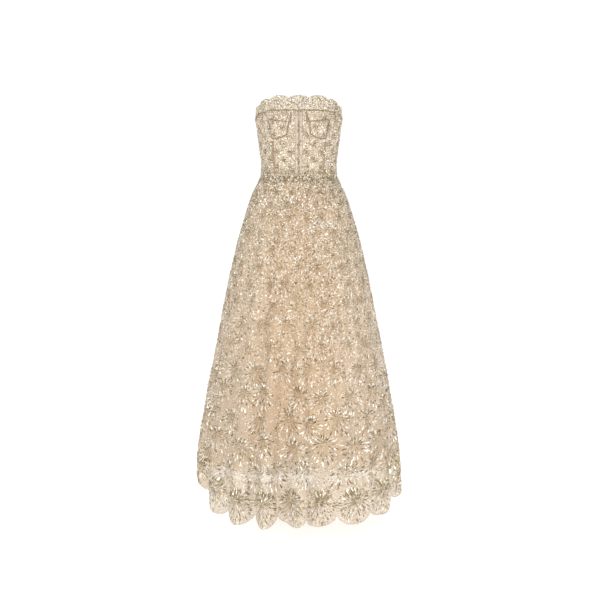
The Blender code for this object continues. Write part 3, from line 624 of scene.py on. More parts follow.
# A mesh from arrays of points and faces, with a UV pair and a tone for each point where given
def makePiece(name, vertices, faceSets, material, uv=None, tone=None, smooth=True):
    mesh = bpy.data.meshes.new(name)
    sizes = np.concatenate([np.full(len(faces), faces.shape[1]) for faces in faceSets])
    corners = np.concatenate([faces.ravel() for faces in faceSets])
    mesh.vertices.add(len(vertices))
    mesh.vertices.foreach_set("co", np.asarray(vertices, np.float32).ravel())
    mesh.loops.add(len(corners))
    mesh.loops.foreach_set("vertex_index", corners.astype(np.int32))
    mesh.polygons.add(len(sizes))
    starts = np.concatenate([[0], np.cumsum(sizes)[:-1]])
    mesh.polygons.foreach_set("loop_start", starts.astype(np.int32))
    mesh.polygons.foreach_set("use_smooth", np.full(len(sizes), smooth))
    if uv is not None:
        layer = mesh.uv_layers.new(name="cloth")
        layer.data.foreach_set("uv", np.asarray(uv, np.float32)[corners].ravel())
    if tone is not None:
        attribute = mesh.attributes.new("tone", "FLOAT", "POINT")
        attribute.data.foreach_set("value", np.asarray(tone, np.float32))
    mesh.update(calc_edges=True)
    mesh.materials.append(material)
    piece = bpy.data.objects.new(name, mesh)
    bpy.context.scene.collection.objects.link(piece)
    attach(piece, "gown")
    return piece


# A closed wall from two grids of points: both faces, and a strip of quads along each of the four edges
def wallPiece(name, outer, inner, uv, material, tone=None):
    rows, columns = outer.shape[:2]
    count = rows * columns
    index = np.arange(count).reshape(rows, columns)
    a, b, c, d = index[:-1, :-1], index[:-1, 1:], index[1:, 1:], index[1:, :-1]
    far = index + count
    faces = [
        np.stack([a, b, c, d], -1).reshape(-1, 4),
        np.stack([a, d, c, b], -1).reshape(-1, 4) + count,
        np.stack([index[0, :-1], far[0, :-1], far[0, 1:], index[0, 1:]], -1),
        np.stack([index[-1, :-1], index[-1, 1:], far[-1, 1:], far[-1, :-1]], -1),
        np.stack([index[:-1, 0], index[1:, 0], far[1:, 0], far[:-1, 0]], -1),
        np.stack([index[:-1, -1], far[:-1, -1], far[1:, -1], index[1:, -1]], -1),
    ]
    points = np.concatenate([outer.reshape(-1, 3), inner.reshape(-1, 3)])
    pair = uv.reshape(-1, 2)
    both = None if tone is None else np.concatenate([tone.ravel(), tone.ravel()])
    return makePiece(name, points, faces, material, uv=np.concatenate([pair, pair]), tone=both)


# Lengths along the rows and up the columns of a grid, in metres, measured from its middle column
def gridLengths(points):
    acrossStep = np.linalg.norm(np.diff(points, axis=1), axis=-1)
    upStep = np.linalg.norm(np.diff(points, axis=0), axis=-1)
    u = np.concatenate([np.zeros((len(points), 1)), np.cumsum(acrossStep, axis=1)], axis=1)
    v = np.concatenate([np.zeros((1, points.shape[1])), np.cumsum(upStep, axis=0)], axis=0)
    return np.stack([u - u[:, [points.shape[1] // 2]], v], axis=-1)


def clothPiece(name, surface, angle, height, thickness, look, nodes, tone=None):
    if angle[0, 0] > angle[0, -1]:
        angle, height = angle[:, ::-1], height[:, ::-1]
    outer, normal, _, _ = clothFrame(surface, angle, height)
    inner = outer - thickness * normal
    piece = wallPiece(name, outer, inner, gridLengths(outer), looks[look], tone)
    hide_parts(*nodes)
    return piece


def camel(node):
    words = node.split("_")
    return words[0] + "".join(word.title() for word in words[1:])


# Bodice panels
bodiceGrid = {"rows": {"waist": 30, "underwire": 18, "cupSeam": 12}, "centre": 10, "front": 26,
              "side": 20, "back": 36}


def bodicePanel(node, left, right, seams, columns, side):
    share = np.linspace(0, 1, columns + 1)
    heights = []
    for low, high in zip(seams, seams[1:]):
        start, end = (crossLine(seam, left, right, share) for seam in (low, high))
        steps = np.linspace(0, 1, bodiceGrid["rows"][low] + 1)
        rows = start[None, :] + (end - start)[None, :] * steps[:, None]
        heights.append(rows if not heights else rows[1:])
    height = np.concatenate(heights)
    height[0] += gaps["seam"] / 2
    height[-1] -= gaps["seam"] / 2
    angle = side * panelAngle(left, right, share[None, :], height)
    clothPiece(camel(node), bodiceSurface, angle, height, walls["bodice"], "satin",
                              [node])


for side, word in ((-1, "left"), (1, "right")):
    whole = ["waist", "underwire", "cupSeam", "top"]
    bodicePanel("bodice_centre_" + word, "centre", "gore", whole, bodiceGrid["centre"], side)
    for panel, seams in (("bodice_front_", whole[:2]), ("cup_lower_", whole[1:3]),
                         ("cup_upper_", whole[2:])):
        bodicePanel(panel + word, "gore", "princess", seams, bodiceGrid["front"], side)
    bodicePanel("bodice_side_" + word, "princess", "side", whole, bodiceGrid["side"], side)
    bodicePanel("bodice_back_" + word, "side", "back", whole, bodiceGrid["back"], side)
print("bodice panels made")

# Scalloped net above the top seam
neckGrid = {"rows": 10, "frontColumns": 182, "backColumns": 84}
neckGap = float(gapAngle(gaps["seam"] / 2, np.array(0.17)))
for node, start, end, columns in (
        ("neckline_net_front", -sideAngle + neckGap, sideAngle - neckGap, neckGrid["frontColumns"]),
        ("neckline_net_back_left", -180 + neckGap, -sideAngle - neckGap, neckGrid["backColumns"]),
        ("neckline_net_back_right", sideAngle + neckGap, 180 - neckGap, neckGrid["backColumns"])):
    angle = np.linspace(start, end, columns + 1)[None, :]
    low = topHeight(angle) + gaps["seam"] / 2
    height = low + (neckEdgeHeight(angle) - low) * np.linspace(0, 1, neckGrid["rows"] + 1)[:, None]
    clothPiece(camel(node), bodiceSurface, np.broadcast_to(angle, height.shape), height,
                              walls["net"], "net", [node])

# Skirt panels of beaded net
skirtGrid = {"rows": 84, "columnsPerScallop": 18}


def openingHalfWidth(height):
    share = smoothStep((height - zipRoom["closes"]) / (zipRoom["bottom"] - zipRoom["closes"]))
    return gaps["seam"] / 2 + (zipRoom["halfOpening"] - gaps["seam"] / 2) * share


# Rows are shares of the way from waist to hem; the scallops grow in over the last rows as share to the ninth
for node, (start, end) in skirtPanels.items():
    count = hemScallops[node]
    shares = np.linspace(0, 1, count * skirtGrid["columnsPerScallop"] + 1)
    turns = evenAngles(start, end, shares, hemCut["measuredAt"])
    across = (shares * count) % 1.0 * 2 - 1
    hem, plain = hemHeight(turns, across, hemCut["depth"]), hemHeight(turns, 0 * across, 0)
    rows = (1 - (1 - np.linspace(0, 1, skirtGrid["rows"] + 1)) ** 1.15)[::-1, None]
    height = plain * rows + (hem - plain) * rows**9 - gaps["seam"] / 2 * (1 - rows)
    width = tableColumn(skirtSections, 1, height)
    back = openingHalfWidth(height)
    low = np.degrees((back if start == -180 else gaps["seam"] / 2) / width)
    high = np.degrees((back if end == 180 else gaps["seam"] / 2) / width)
    angle = start + low + (end - start - low - high) * ((turns - start) / (end - start))[None, :]
    clothPiece(camel(node), skirtSurface, angle, height, walls["net"], "net", [node])

# Lining, front and back. Its tone rises from 0 at the hem to 1 where the silk is no longer sheer
liningGrid = {"rows": 46, "columns": 110, "sheer": 0.095}
for node, start, end in (("lining_front", -90, 90), ("lining_back", 90, 270)):
    turn = np.linspace(start, end, liningGrid["columns"] + 1)[None, :]
    rows = np.linspace(1, 0, liningGrid["rows"] + 1)[:, None]
    low = hemPlainAt(turn) + liningCut["aboveHem"]
    height = liningCut["top"] + (low - liningCut["top"]) * rows
    gap = np.degrees(gaps["seam"] / 2 / tableColumn(skirtSections, 1, height))
    angle = start + gap + (end - start - 2 * gap) * (turn - start) / (end - start)
    clothPiece(camel(node), liningSurface, angle, height, walls["lining"], "lining",
                              [node], np.clip((height - low) / liningGrid["sheer"], 0, 1))
print("skirt and lining made")

# Casings and bindings: seven lines across, on the cloth's own points, with a soft crown
tape = {"casing": 0.0070, "centre": 0.0100, "centreOffset": 0.0062, "underwire": 0.0048,
        "binding": 0.0036, "rise": 0.0012, "crown": 0.0005, "lines": 7, "finer": 5}
# Cells of the bodice, 1 degree by 4 mm, that a tape covers
cells = {"tall": 0.004, "levels": 64}
tapeCells = np.zeros((360, cells["levels"]), bool)


def cellOf(angle, height):
    turn = np.floor(wrapped(angle) + 180.0).astype(int) % 360
    level = np.floor(np.asarray(height) / cells["tall"]).astype(int)
    return turn, np.clip(level, 0, cells["levels"] - 1)


def tapePiece(node, angle, height, width, gap, look):
    angle, height = np.broadcast_arrays(np.asarray(angle, float), np.asarray(height, float))
    coarse = np.arange(len(angle))
    fine = np.linspace(0, len(angle) - 1, (len(angle) - 1) * tape["finer"] + 1)
    angle, height = np.interp(fine, coarse, angle), np.interp(fine, coarse, height)
    for _ in range(3):
        angle[1:-1] = (angle[:-2] + 2 * angle[1:-1] + angle[2:]) / 4
        height[1:-1] = (height[:-2] + 2 * height[1:-1] + height[2:]) / 4
    centre, normal, around, _ = clothFrame(bodiceSurface, angle, height)
    across = np.cross(np.gradient(centre, axis=0), normal)
    across /= np.linalg.norm(across, axis=-1, keepdims=True)
    turn = bodiceSurface(angle + 0.5, height) - bodiceSurface(angle - 0.5, height)
    perDegree = np.linalg.norm(turn, axis=-1)
    sideways = (across * turn).sum(-1) / perDegree
    shares = np.linspace(-0.5, 0.5, tape["lines"])
    placeAngle = angle[:, None] + shares * (width * sideways / perDegree)[:, None]
    placeHeight = height[:, None] + shares * width * across[:, 2:3]
    tapeCells[cellOf(placeAngle, placeHeight)] = True
    base, out, _, _ = clothFrame(bodiceSurface, placeAngle, placeHeight)
    edge = 1 - (2 * shares) ** 2
    lift = gap + tape["rise"] * (0.35 + 0.65 * edge**0.3) + tape["crown"] * edge
    outer, inner = base + lift[None, :, None] * out, base + gap * out
    run = np.concatenate([[0], np.cumsum(np.linalg.norm(np.diff(centre, axis=0), axis=1))])
    uv = np.stack(np.broadcast_arrays((shares + 0.5)[None, :], run[:, None]), axis=-1)
    piece = wallPiece(camel(node), outer, inner, uv, looks[look])
    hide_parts(node)


cupColumns = 10
foot = 0.004
for side, word in ((-1, "left"), (1, "right")):
    height = np.linspace(foot, 0.1940, 12)
    tapePiece("casing_centre_" + word, side * gapAngle(tape["centreOffset"], height), height,
              tape["centre"], gaps["laid"], "paleTape")
    height = np.linspace(foot, 0.1045, 8)
    tapePiece("casing_princess_" + word, side * uprightLine("princess", height), height, tape["casing"],
              gaps["laid"], "tape")
    share = np.linspace(0, 1, cupColumns + 1)
    under = crossLine("underwire", "gore", "princess", share)
    down, up = np.linspace(0.1925, under[0], 9)[:-1], np.linspace(under[-1], 0.1700, 8)[1:]
    angle = np.concatenate([uprightLine("gore", down), panelAngle("gore", "princess", share, under),
                            uprightLine("princess", up)])
    tapePiece("underwire_" + word, side * angle, np.concatenate([down, under, up]), tape["underwire"],
              gaps["cupTrim"], "tape")
    share = np.concatenate([[0.08], np.arange(1, cupColumns) / cupColumns, [0.92]])
    height = crossLine("cupSeam", "gore", "princess", share)
    tapePiece("cup_seam_" + word, side * panelAngle("gore", "princess", share, height), height,
              tape["binding"], gaps["cupTrim"], "tape")
    for place, turn in (("side", 88.0), ("back", 135.0)):
        height = np.linspace(foot, float(topHeight(turn)) - 0.005, 10)
        tapePiece(f"casing_{place}_{word}", side * turn + 0 * height, height, tape["casing"],
                  gaps["laid"], "tape")
backEdge = float(gapAngle(zipRoom["halfOpening"], np.array(0.17)))
for node, start, end, count in (("top_binding_front", -sideAngle + 0.2, sideAngle - 0.2, 45),
                                ("top_binding_back_left", -180 + backEdge, -sideAngle - 0.2, 15),
                                ("top_binding_back_right", sideAngle + 0.2, 180 - backEdge, 15)):
    angle = np.linspace(start, end, count)
    tapePiece(node, angle, topHeight(angle), tape["binding"], gaps["laid"], "tape")
print("casings and bindings made")

# Shapes of the small pieces, 1 long along X, 1 wide along Y, rising along Z: points, then triangles
dropOutline = [(-0.5, 0.0), (-0.08, -0.34), (0.26, -0.5), (0.5, 0.0), (0.26, 0.5), (-0.08, 0.34)]
roundOutline = [(0.5 * math.cos(k * math.pi / 3), 0.5 * math.sin(k * math.pi / 3)) for k in range(6)]


def domed(outline, peak):
    rim = [(x, y, 0.0) for x, y in outline]
    count = len(rim)
    points = np.array(rim + [(peak, 0.0, 1.0), (peak, 0.0, -0.4)])
    after = [(k, (k + 1) % count) for k in range(count)]
    return points, np.array([(a, b, count) for a, b in after] + [(b, a, count + 1) for a, b in after])


octahedron = (
    np.array([(-0.5, 0, 0), (0.5, 0, 0), (0, -0.5, 0), (0, 0.5, 0), (0, 0, -0.5), (0, 0, 0.5)], float),
    np.array([(1, 3, 5), (3, 0, 5), (0, 2, 5), (2, 1, 5), (3, 1, 4), (0, 3, 4), (2, 0, 4), (1, 2, 4)]),
)
shapes = {"drop": domed(dropOutline, 0.12), "disc": domed(roundOutline, 0.0), "bead": octahedron}


ringFine = {"reach": 190.0, "steps": 1521}


# Arc lengths round a surface at many heights, so that places can be found by distance along the cloth
def ringTable(surface, low, high, count):
    heights = np.linspace(low, high, count)
    angles = np.linspace(-ringFine["reach"], ringFine["reach"], ringFine["steps"])
    points = surface(angles[None, :], heights[:, None])
    run = np.cumsum(np.linalg.norm(np.diff(points, axis=1), axis=-1), axis=1)
    run = np.concatenate([np.zeros((count, 1)), run], axis=1)
    run -= run[:, [ringFine["steps"] // 2]]
    return {"low": low, "step": heights[1] - heights[0], "count": count, "angles": angles, "run": run}


def ringRow(table, height):
    row = np.rint((height - table["low"]) / table["step"])
    return np.clip(row, 0, table["count"] - 1).astype(int)


def arcOf(table, angle, height):
    # Every ring's angles are set end to end, 1000 apart, so that one look-up serves them all
    row = ringRow(table, height)
    keys = (table["angles"][None, :] + 1000.0 * np.arange(table["count"])[:, None]).ravel()
    return np.interp(angle + 1000.0 * row, keys, table["run"].ravel())


def angleAt(table, arc, height):
    row = ringRow(table, height)
    keys = (table["run"] + 10.0 * np.arange(table["count"])[:, None]).ravel()
    values = np.broadcast_to(table["angles"][None, :], table["run"].shape).ravel()
    return np.interp(arc + 10.0 * row, keys, values)


skirtRings = ringTable(skirtSurface, -1.10, 0.0, 150)
bodiceRings = ringTable(bodiceSurface, 0.0, 0.25, 60)


# Places at a distance from each centre, measured along the cloth. Direction 0 points down
def placesAlong(rings, centreAngle, centreHeight, direction, distance):
    height = centreHeight[:, None] - distance * np.cos(direction)
    arc = arcOf(rings, centreAngle[:, None] + 0 * height, height) + distance * np.sin(direction)
    return {"angle": angleAt(rings, arc, height).ravel(), "height": height.ravel(),
            "turn": direction.ravel(), "distance": distance.ravel()}


# Places on a ring round each centre. The reach shrinks smoothly to its upward share for those that
# point up, and loose is how far each strays, as a share of the step between them
def placesRound(rng, rings, centreAngle, centreHeight, reach, count, phase, upward, loose):
    step = 2 * math.pi / count
    size = (len(centreAngle), count)
    direction = (np.arange(count)[None, :] + phase) * step + rng.uniform(-0.5, 0.5, size) * loose * step
    distance = np.reshape(reach, (-1, 1)) * ((1 + upward) / 2 + (1 - upward) / 2 * np.cos(direction))
    distance = distance * (1 + rng.uniform(-0.5, 0.5, size) * loose * 0.35)
    return placesAlong(rings, centreAngle, centreHeight, direction, distance)


sewing = {"smallest": 0.85, "largest": 1.15, "pitchShare": 0.45, "toneSpread": 0.03}


# Sizes, tilts and tones for a set of places, from the kind of piece that is sewn there: its shape,
# length, width, rise, lift off the cloth, tilt, tones and the share of each tone
def dressed(rng, places, kind, **changes):
    words = ("shape", "length", "width", "rise", "lift", "tilt", "tones", "shares")
    kind = {**dict(zip(words, kind)), **changes}
    count = len(places["angle"])
    uneven = rng.uniform(sewing["smallest"], sewing["largest"], count)
    made = dict(places, shape=kind["shape"], length=kind["length"] * uneven,
                width=kind["width"] * uneven, rise=kind["rise"] + 0 * uneven,
                lift=kind["lift"] + 0 * uneven,
                pitch=rng.normal(0, kind["tilt"] * sewing["pitchShare"], count),
                roll=rng.normal(0, kind["tilt"], count))
    tone = rng.choice(kind["tones"], count, p=kind["shares"]) + rng.normal(0, sewing["toneSpread"], count)
    return dict(made, tone=np.clip(tone, 0, 1))


def kept(places, mask):
    return {key: (value[mask] if isinstance(value, np.ndarray) else value) for key, value in places.items()}


# Each small piece: its outline is scaled, turned to its direction in the cloth, pitched about its
# width and rolled about its length, and lifted off the cloth along the normal
def sewOn(name, surface, groupsOfPlaces, look, flat=True):
    points, faces, tones, offset = [], [], [], 0
    for places in groupsOfPlaces:
        if not len(places["angle"]):
            continue
        spot, normal, around, up = clothFrame(surface, places["angle"], places["height"])
        turn, pitch, roll = (places[key][:, None] for key in ("turn", "pitch", "roll"))
        along = np.sin(turn) * around - np.cos(turn) * up
        side = np.cross(normal, along)
        long_ = np.cos(pitch) * along + np.sin(pitch) * normal
        raised = np.cos(pitch) * normal - np.sin(pitch) * along
        wide = np.cos(roll) * side + np.sin(roll) * raised
        high = np.cos(roll) * raised - np.sin(roll) * side
        template, triangles = shapes[places["shape"]]
        scaled = (template[None, :, 0:1] * (places["length"][:, None] * long_)[:, None, :]
                  + template[None, :, 1:2] * (places["width"][:, None] * wide)[:, None, :]
                  + template[None, :, 2:3] * (places["rise"][:, None] * high)[:, None, :])
        vertices = (spot + places["lift"][:, None] * normal)[:, None, :] + scaled
        count = len(spot)
        first = offset + np.arange(count)[:, None, None] * len(template)
        points.append(vertices.reshape(-1, 3))
        faces.append((triangles[None, :, :] + first).reshape(-1, 3))
        tones.append(np.repeat(places["tone"], len(template)))
        offset += count * len(template)
    faces = np.concatenate(faces)
    print(name, "triangles:", len(faces))
    return makePiece(name, np.concatenate(points), [faces], looks[look],
                     tone=np.concatenate(tones), smooth=not flat)

# Starbursts of the skirt in a half-drop repeat: shares of the way from the waist to the hem line
burstRows = [0.0175, 0.0463, 0.0807, 0.1208, 0.1637, 0.2121, 0.2605, 0.3114, 0.3681, 0.4276, 0.4895,
             0.5544, 0.6220, 0.6925, 0.7655, 0.8418]
burst = {"columns": 19, "lowest": -1.055, "radiusShare": ([0.0, 0.5, 0.78], [0.47, 0.50, 0.56]),
         "upward": ([0.0, 0.4, 0.8], [0.85, 0.60, 0.30]), "raySpacing": 0.0102, "rayShare": 0.9,
         "fewestRays": 9, "mostRays": 22, "uneven": 0.26, "adrift": 0.10, "unlevel": (0.007, 0.043),
         "dropShare": 0.30, "dropLongest": 0.0175, "dropShortest": 0.0056, "dropSlim": 0.26,
         "dropNarrowest": 0.0021, "fewestDrops": 8, "innerSize": 0.45, "outerSize": 0.55,
         "stemReach": 0.27, "stemLength": 0.24, "stemShare": 0.6, "fewestStems": 7,
         "heartClear": 0.42, "heartLeast": 0.0018, "large": 0.030, "zipClear": 0.006}
# Rings of a burst's drops: reach, share of the rays, smallest radius that has the ring, and shares of
# the tones, which are dark at the heart and bright at the rim
burstRings = [
    (0.46, 0.60, 0.0, [0.32, 0.40, 0.14, 0.06, 0.08]), (0.64, 0.80, 0.045, [0.20, 0.20, 0.10, 0.12, 0.38]),
    (0.82, 0.92, 0.026, [0.20, 0.20, 0.10, 0.12, 0.38]), (1.0, 1.0, 0.0, [0.16, 0.16, 0.08, 0.10, 0.50]),
]
# Rings of beads at the heart, in a large burst or in a small one: reach, number
heartRings = {True: ((0.06, 4), (0.16, 8), (0.26, 10)), False: ((0.10, 4), (0.26, 8))}
# Stems that climb from every other burst low on the skirt
climbingStems = {"from": 0.6, "share": 0.5, "reaches": (0.34, 0.50, 0.66), "length": 0.17}
# Fan of each hem scallop, its drops and stems by reach and length, its heart by reach and number
hemFan = {"share": 0.9273, "radius": 0.067, "rays": 46, "upward": 0.50, "stemShare": 0.8,
          "drops": [(0.56, 0.65, 0.0105), (0.72, 0.85, 0.0115), (0.87, 1.0, 0.0115), (1.0, 1.0, 0.0095)],
          "dropLong": 1.15, "dropSlim": 0.27, "stems": [(0.20, 0.012), (0.34, 0.012), (0.48, 0.011)],
          "hearts": [(0.05, 6), (0.10, 10), (0.16, 12)]}
foilTones = [0.04, 0.20, 0.42, 0.66, 0.92]
# Kinds of small piece on the skirt, in the order that dressed gives; None follows the burst
skirtKinds = {
    "drop": ("drop", None, None, 0.0011, 0.0009, 0.34, foilTones, None),
    "stem": ("bead", None, 0.0013, 0.0012, 0.0009, 0.05, [0.2, 0.42, 0.9], [0.60, 0.28, 0.12]),
    "heart": ("bead", 0.0030, 0.0027, 0.0024, 0.0009, 0.3, [0.05, 0.20, 0.42, 0.9],
              [0.38, 0.40, 0.14, 0.08]),
    "climbing": ("bead", None, 0.0016, 0.0014, 0.0009, 0.03, [0.22], [1.0]),
    "hemDrop": ("drop", None, None, 0.0010, 0.0009, 0.34, foilTones, [0.16, 0.30, 0.26, 0.10, 0.18]),
    "hemStem": ("bead", None, 0.0017, 0.0014, 0.0009, 0.05, [0.08, 0.22, 0.42, 0.9],
                [0.24, 0.40, 0.16, 0.20]),
    "hemHeart": ("bead", 0.0030, 0.0026, 0.0024, 0.0009, 0.3, [0.03, 0.16, 0.42, 0.9],
                 [0.40, 0.34, 0.14, 0.12]),
    "disc": ("disc", 0.0045, 0.0040, 0.0006, 0.0008, 0.35, foilTones, [0.16, 0.17, 0.12, 0.10, 0.45]),
    "bead": ("bead", 0.0032, 0.0027, 0.0022, 0.0008, 0.3, [0.1, 0.42, 0.66, 0.95], [0.24, 0.14, 0.09, 0.53]),
    "band": ("bead", 0.0054, 0.0021, 0.0016, 0.0008, 0.2, [0.1, 0.30, 0.48, 0.66, 0.95],
             [0.24, 0.30, 0.28, 0.08, 0.10]),
    "edge": ("bead", 0.0030, 0.0024, 0.0022, 0.0006, 0.3, [0.2, 0.42, 0.66, 0.95], [0.15, 0.25, 0.3, 0.3]),
    "waist": ("bead", 0.0032, 0.0026, 0.0022, 0.0010, 0.3, [0.06, 0.2, 0.48, 0.92],
              [0.12, 0.22, 0.46, 0.20]),
}


def hemEdgeAt(angle):
    angles, edges = [], []
    for node, (start, end) in skirtPanels.items():
        shares = np.linspace(0, 1, hemScallops[node] * 48 + 1)
        turns = evenAngles(start, end, shares, hemCut["measuredAt"])
        across = (shares * hemScallops[node]) % 1.0 * 2 - 1
        angles.append(turns)
        edges.append(hemHeight(turns, across, hemCut["depth"]))
    return np.interp(wrapped(angle), np.concatenate(angles), np.concatenate(edges))


# Column angles at a height: scallop middles, or the notches between them when staggered
def columnAngles(height, staggered):
    found = []
    for node, (start, end) in skirtPanels.items():
        count = hemScallops[node]
        first = 1 if node == "skirt_back_right" else 0
        last = count + 1 if node == "skirt_front" else count
        places = np.arange(first, last) if staggered else np.arange(count) + 0.5
        found.append(evenAngles(start, end, places / count, height))
    return np.concatenate(found)


def ringPitch(rings, height, columns):
    row = int(ringRow(rings, np.array(height)))
    return float(np.ptp(rings["run"][row])) * 360.0 / (2 * ringFine["reach"]) / columns


def makeBurstRow(rng, share, staggered):
    level = burst["lowest"] * share
    angle = columnAngles(level, staggered)
    count = len(angle)
    angle = angle + rng.normal(0, burst["adrift"], count) * 360.0 / burst["columns"]
    unlevel = burst["unlevel"][0] + burst["unlevel"][1] * share**2
    height = share * tableColumn(hemLine, 1, angle) + rng.uniform(-0.5, 0.5, count) * unlevel
    uneven = 1 + rng.uniform(-0.5, 0.5, count) * burst["uneven"]
    wide, upward = (float(np.interp(share, *burst[key])) for key in ("radiusShare", "upward"))
    radius = wide * ringPitch(skirtRings, level, burst["columns"])
    hearts.append(np.column_stack([skirtSurface(angle, height), burst["heartClear"] * radius * uneven]))
    rays = math.pi * (1 + upward) * burst["rayShare"] * radius / burst["raySpacing"]
    rays = int(np.clip(rays, burst["fewestRays"], burst["mostRays"]))
    length = float(np.clip(burst["dropShare"] * radius, burst["dropShortest"], burst["dropLongest"]))
    drops, beads = [], []
    for place, (reach, part, _, shares) in enumerate([ring for ring in burstRings if radius > ring[2]]):
        spots = placesRound(rng, skirtRings, angle, height, reach * radius * uneven,
                            max(burst["fewestDrops"], int(rays * part)), 0.5 * place, upward, 0.5)
        size = length * (burst["innerSize"] + burst["outerSize"] * spots["distance"] / radius)
        width = np.maximum(burst["dropNarrowest"], size * burst["dropSlim"])
        drops.append(dressed(rng, spots, skirtKinds["drop"], length=size, width=width, shares=shares))
    spots = placesRound(rng, skirtRings, angle, height, burst["stemReach"] * radius,
                        max(burst["fewestStems"], int(rays * burst["stemShare"])), 0.0, upward, 0.4)
    beads.append(dressed(rng, spots, skirtKinds["stem"], length=burst["stemLength"] * radius))
    for reach, number in heartRings[radius > burst["large"]]:
        spots = placesRound(rng, skirtRings, angle, height, max(reach * radius, burst["heartLeast"]), number,
                            0.0, 1.0, 0.9)
        beads.append(dressed(rng, spots, skirtKinds["heart"]))
    if share > climbingStems["from"]:
        chosen = rng.uniform(0, 1, count) < climbingStems["share"]
        angle, height, length = angle[chosen], height[chosen], climbingStems["length"] * radius
        for reach in climbingStems["reaches"]:
            spots = placesRound(rng, skirtRings, angle, height, reach * radius, 1, 0.5, 1.0, 0.0)
            beads.append(dressed(rng, spots, skirtKinds["climbing"], length=length))
    return drops, beads


def makeHemFans(rng):
    angle = columnAngles(hemCut["measuredAt"], False)
    height = hemFan["share"] * tableColumn(hemLine, 1, angle)
    radius, rays, upward = hemFan["radius"], hemFan["rays"], hemFan["upward"]
    drops, beads = [], []
    for place, (reach, part, size) in enumerate(hemFan["drops"]):
        spots = placesRound(rng, skirtRings, angle, height, reach * radius, int(rays * part), 0.5 * place,
                            upward, 0.5)
        drops.append(dressed(rng, spots, skirtKinds["hemDrop"], length=size * hemFan["dropLong"],
                             width=size * hemFan["dropSlim"]))
    for reach, size in hemFan["stems"]:
        spots = placesRound(rng, skirtRings, angle, height, reach * radius, int(rays * hemFan["stemShare"]),
                            0.0, upward, 0.5)
        beads.append(dressed(rng, spots, skirtKinds["hemStem"], length=size))
    for reach, number in hemFan["hearts"]:
        spots = placesRound(rng, skirtRings, angle, height, reach * radius, number, 0.0, 1.0, 0.8)
        beads.append(dressed(rng, spots, skirtKinds["hemHeart"]))
    return drops, beads


# Places spread evenly over the cloth between two shares of its height, thinned from one share of the
# count at the top to the other at the foot
def scattered(rng, rings, count, between, heightAt, thinning=(1.0, 1.0)):
    share = rng.uniform(*between, count)
    share = share[rng.uniform(0, 1, count) < thinning[0] + (thinning[1] - thinning[0]) * share]
    rough = share * heightAt(0.0)
    half = np.interp(rough, [rings["low"] + rings["step"] * k for k in range(rings["count"])],
                     rings["run"][:, -1]) * 180.0 / ringFine["reach"]
    angle = angleAt(rings, rng.uniform(-1, 1, len(share)) * half, rough)
    return {"angle": angle, "height": share * heightAt(angle),
            "turn": rng.uniform(0, 2 * math.pi, len(share))}


# A row of beads just inside the scalloped edges
def edgeRow(edgeAt, surface, spacing, inset):
    angle = np.linspace(-180, 180, 9000)
    points = surface(angle, edgeAt(angle))
    run = np.concatenate([[0], np.cumsum(np.linalg.norm(np.diff(points, axis=0), axis=1))])
    at = np.interp(np.arange(0, run[-1], spacing), run, angle)
    return {"angle": at, "height": edgeAt(at) + inset, "turn": at * 7.0}


def insideHem(places):
    tip = places["height"] - 0.5 * places["length"] * np.abs(np.cos(places["turn"]))
    return tip > hemEdgeAt(places["angle"]) + 0.0012


# Loose beads keep clear of the starbursts' dark hearts
def offHearts(places):
    points = skirtSurface(places["angle"], places["height"])
    clear = np.ones(len(points), bool)
    for x, y, z, radius in np.concatenate(hearts):
        clear &= ((points - (x, y, z)) ** 2).sum(-1) > radius**2
    return kept(places, clear)


def offZip(places, surface):
    aside = np.abs(surface(places["angle"], places["height"])[..., 0])
    behind = np.abs(wrapped(places["angle"])) > 90
    return ~(behind & (aside < burst["zipClear"]) & (places["height"] > zipRoom["bottom"] - 0.01))


rng = np.random.default_rng(41)
hearts = []
skirtDrops, skirtBeads = makeHemFans(rng)
for step, share in enumerate(reversed(burstRows)):
    drops, beads = makeBurstRow(rng, share, step % 2 == 0)
    skirtDrops += drops
    skirtBeads += beads
scatter = {"disc": 13000, "bead": 23000, "thinning": (1.0, 0.10), "band": 3600,
           "bandShares": (0.825, 0.905), "edgeStep": 0.0042, "edgeInset": 0.0020,
           "waist": 1100, "waistShares": (0.0, 0.024)}
for sets, kind in ((skirtDrops, "disc"), (skirtBeads, "bead")):
    spots = scattered(rng, skirtRings, scatter[kind], (0.0, 1.0), hemPlainAt, scatter["thinning"])
    sets.append(dressed(rng, offHearts(spots), skirtKinds[kind]))
# A denser band over the lining's edge, and a row along the scallops
spots = scattered(rng, skirtRings, scatter["band"], scatter["bandShares"], hemPlainAt)
skirtBeads.append(dressed(rng, spots, skirtKinds["band"]))
spots = edgeRow(hemEdgeAt, skirtSurface, scatter["edgeStep"], scatter["edgeInset"])
skirtBeads.append(dressed(rng, spots, skirtKinds["edge"]))
sewn = {}
for node, (start, end) in skirtPanels.items():
    for word, sets, look in (("Sequins", skirtDrops, "foil"), ("Beads", skirtBeads, "bead")):
        chosen = []
        for places in sets:
            at = wrapped(places["angle"])
            edge = places["length"] < 0.0036
            inside = insideHem(places) | (edge & (places["height"] > hemEdgeAt(at)))
            mask = (at >= start) & (at < end) & inside & offZip(places, skirtSurface)
            chosen.append(kept(places, mask))
        sewn.setdefault(node, []).append(sewOn(camel(node) + word, skirtSurface, chosen, look))
print("skirt embroidery made")

# Stars of the bodice, in rows up from the waist; the top row is left to the neckline's fans
star = {"firstRow": 0.0250, "rowStep": 0.0242, "rows": 7, "columns": 14, "radius": 0.0128, "rays": 12,
        "droop": 0.9}
waistRow = {"above": 0.0075, "below": -0.0090, "columns": 30, "radius": 0.0120, "rays": 10, "droop": 0.8}
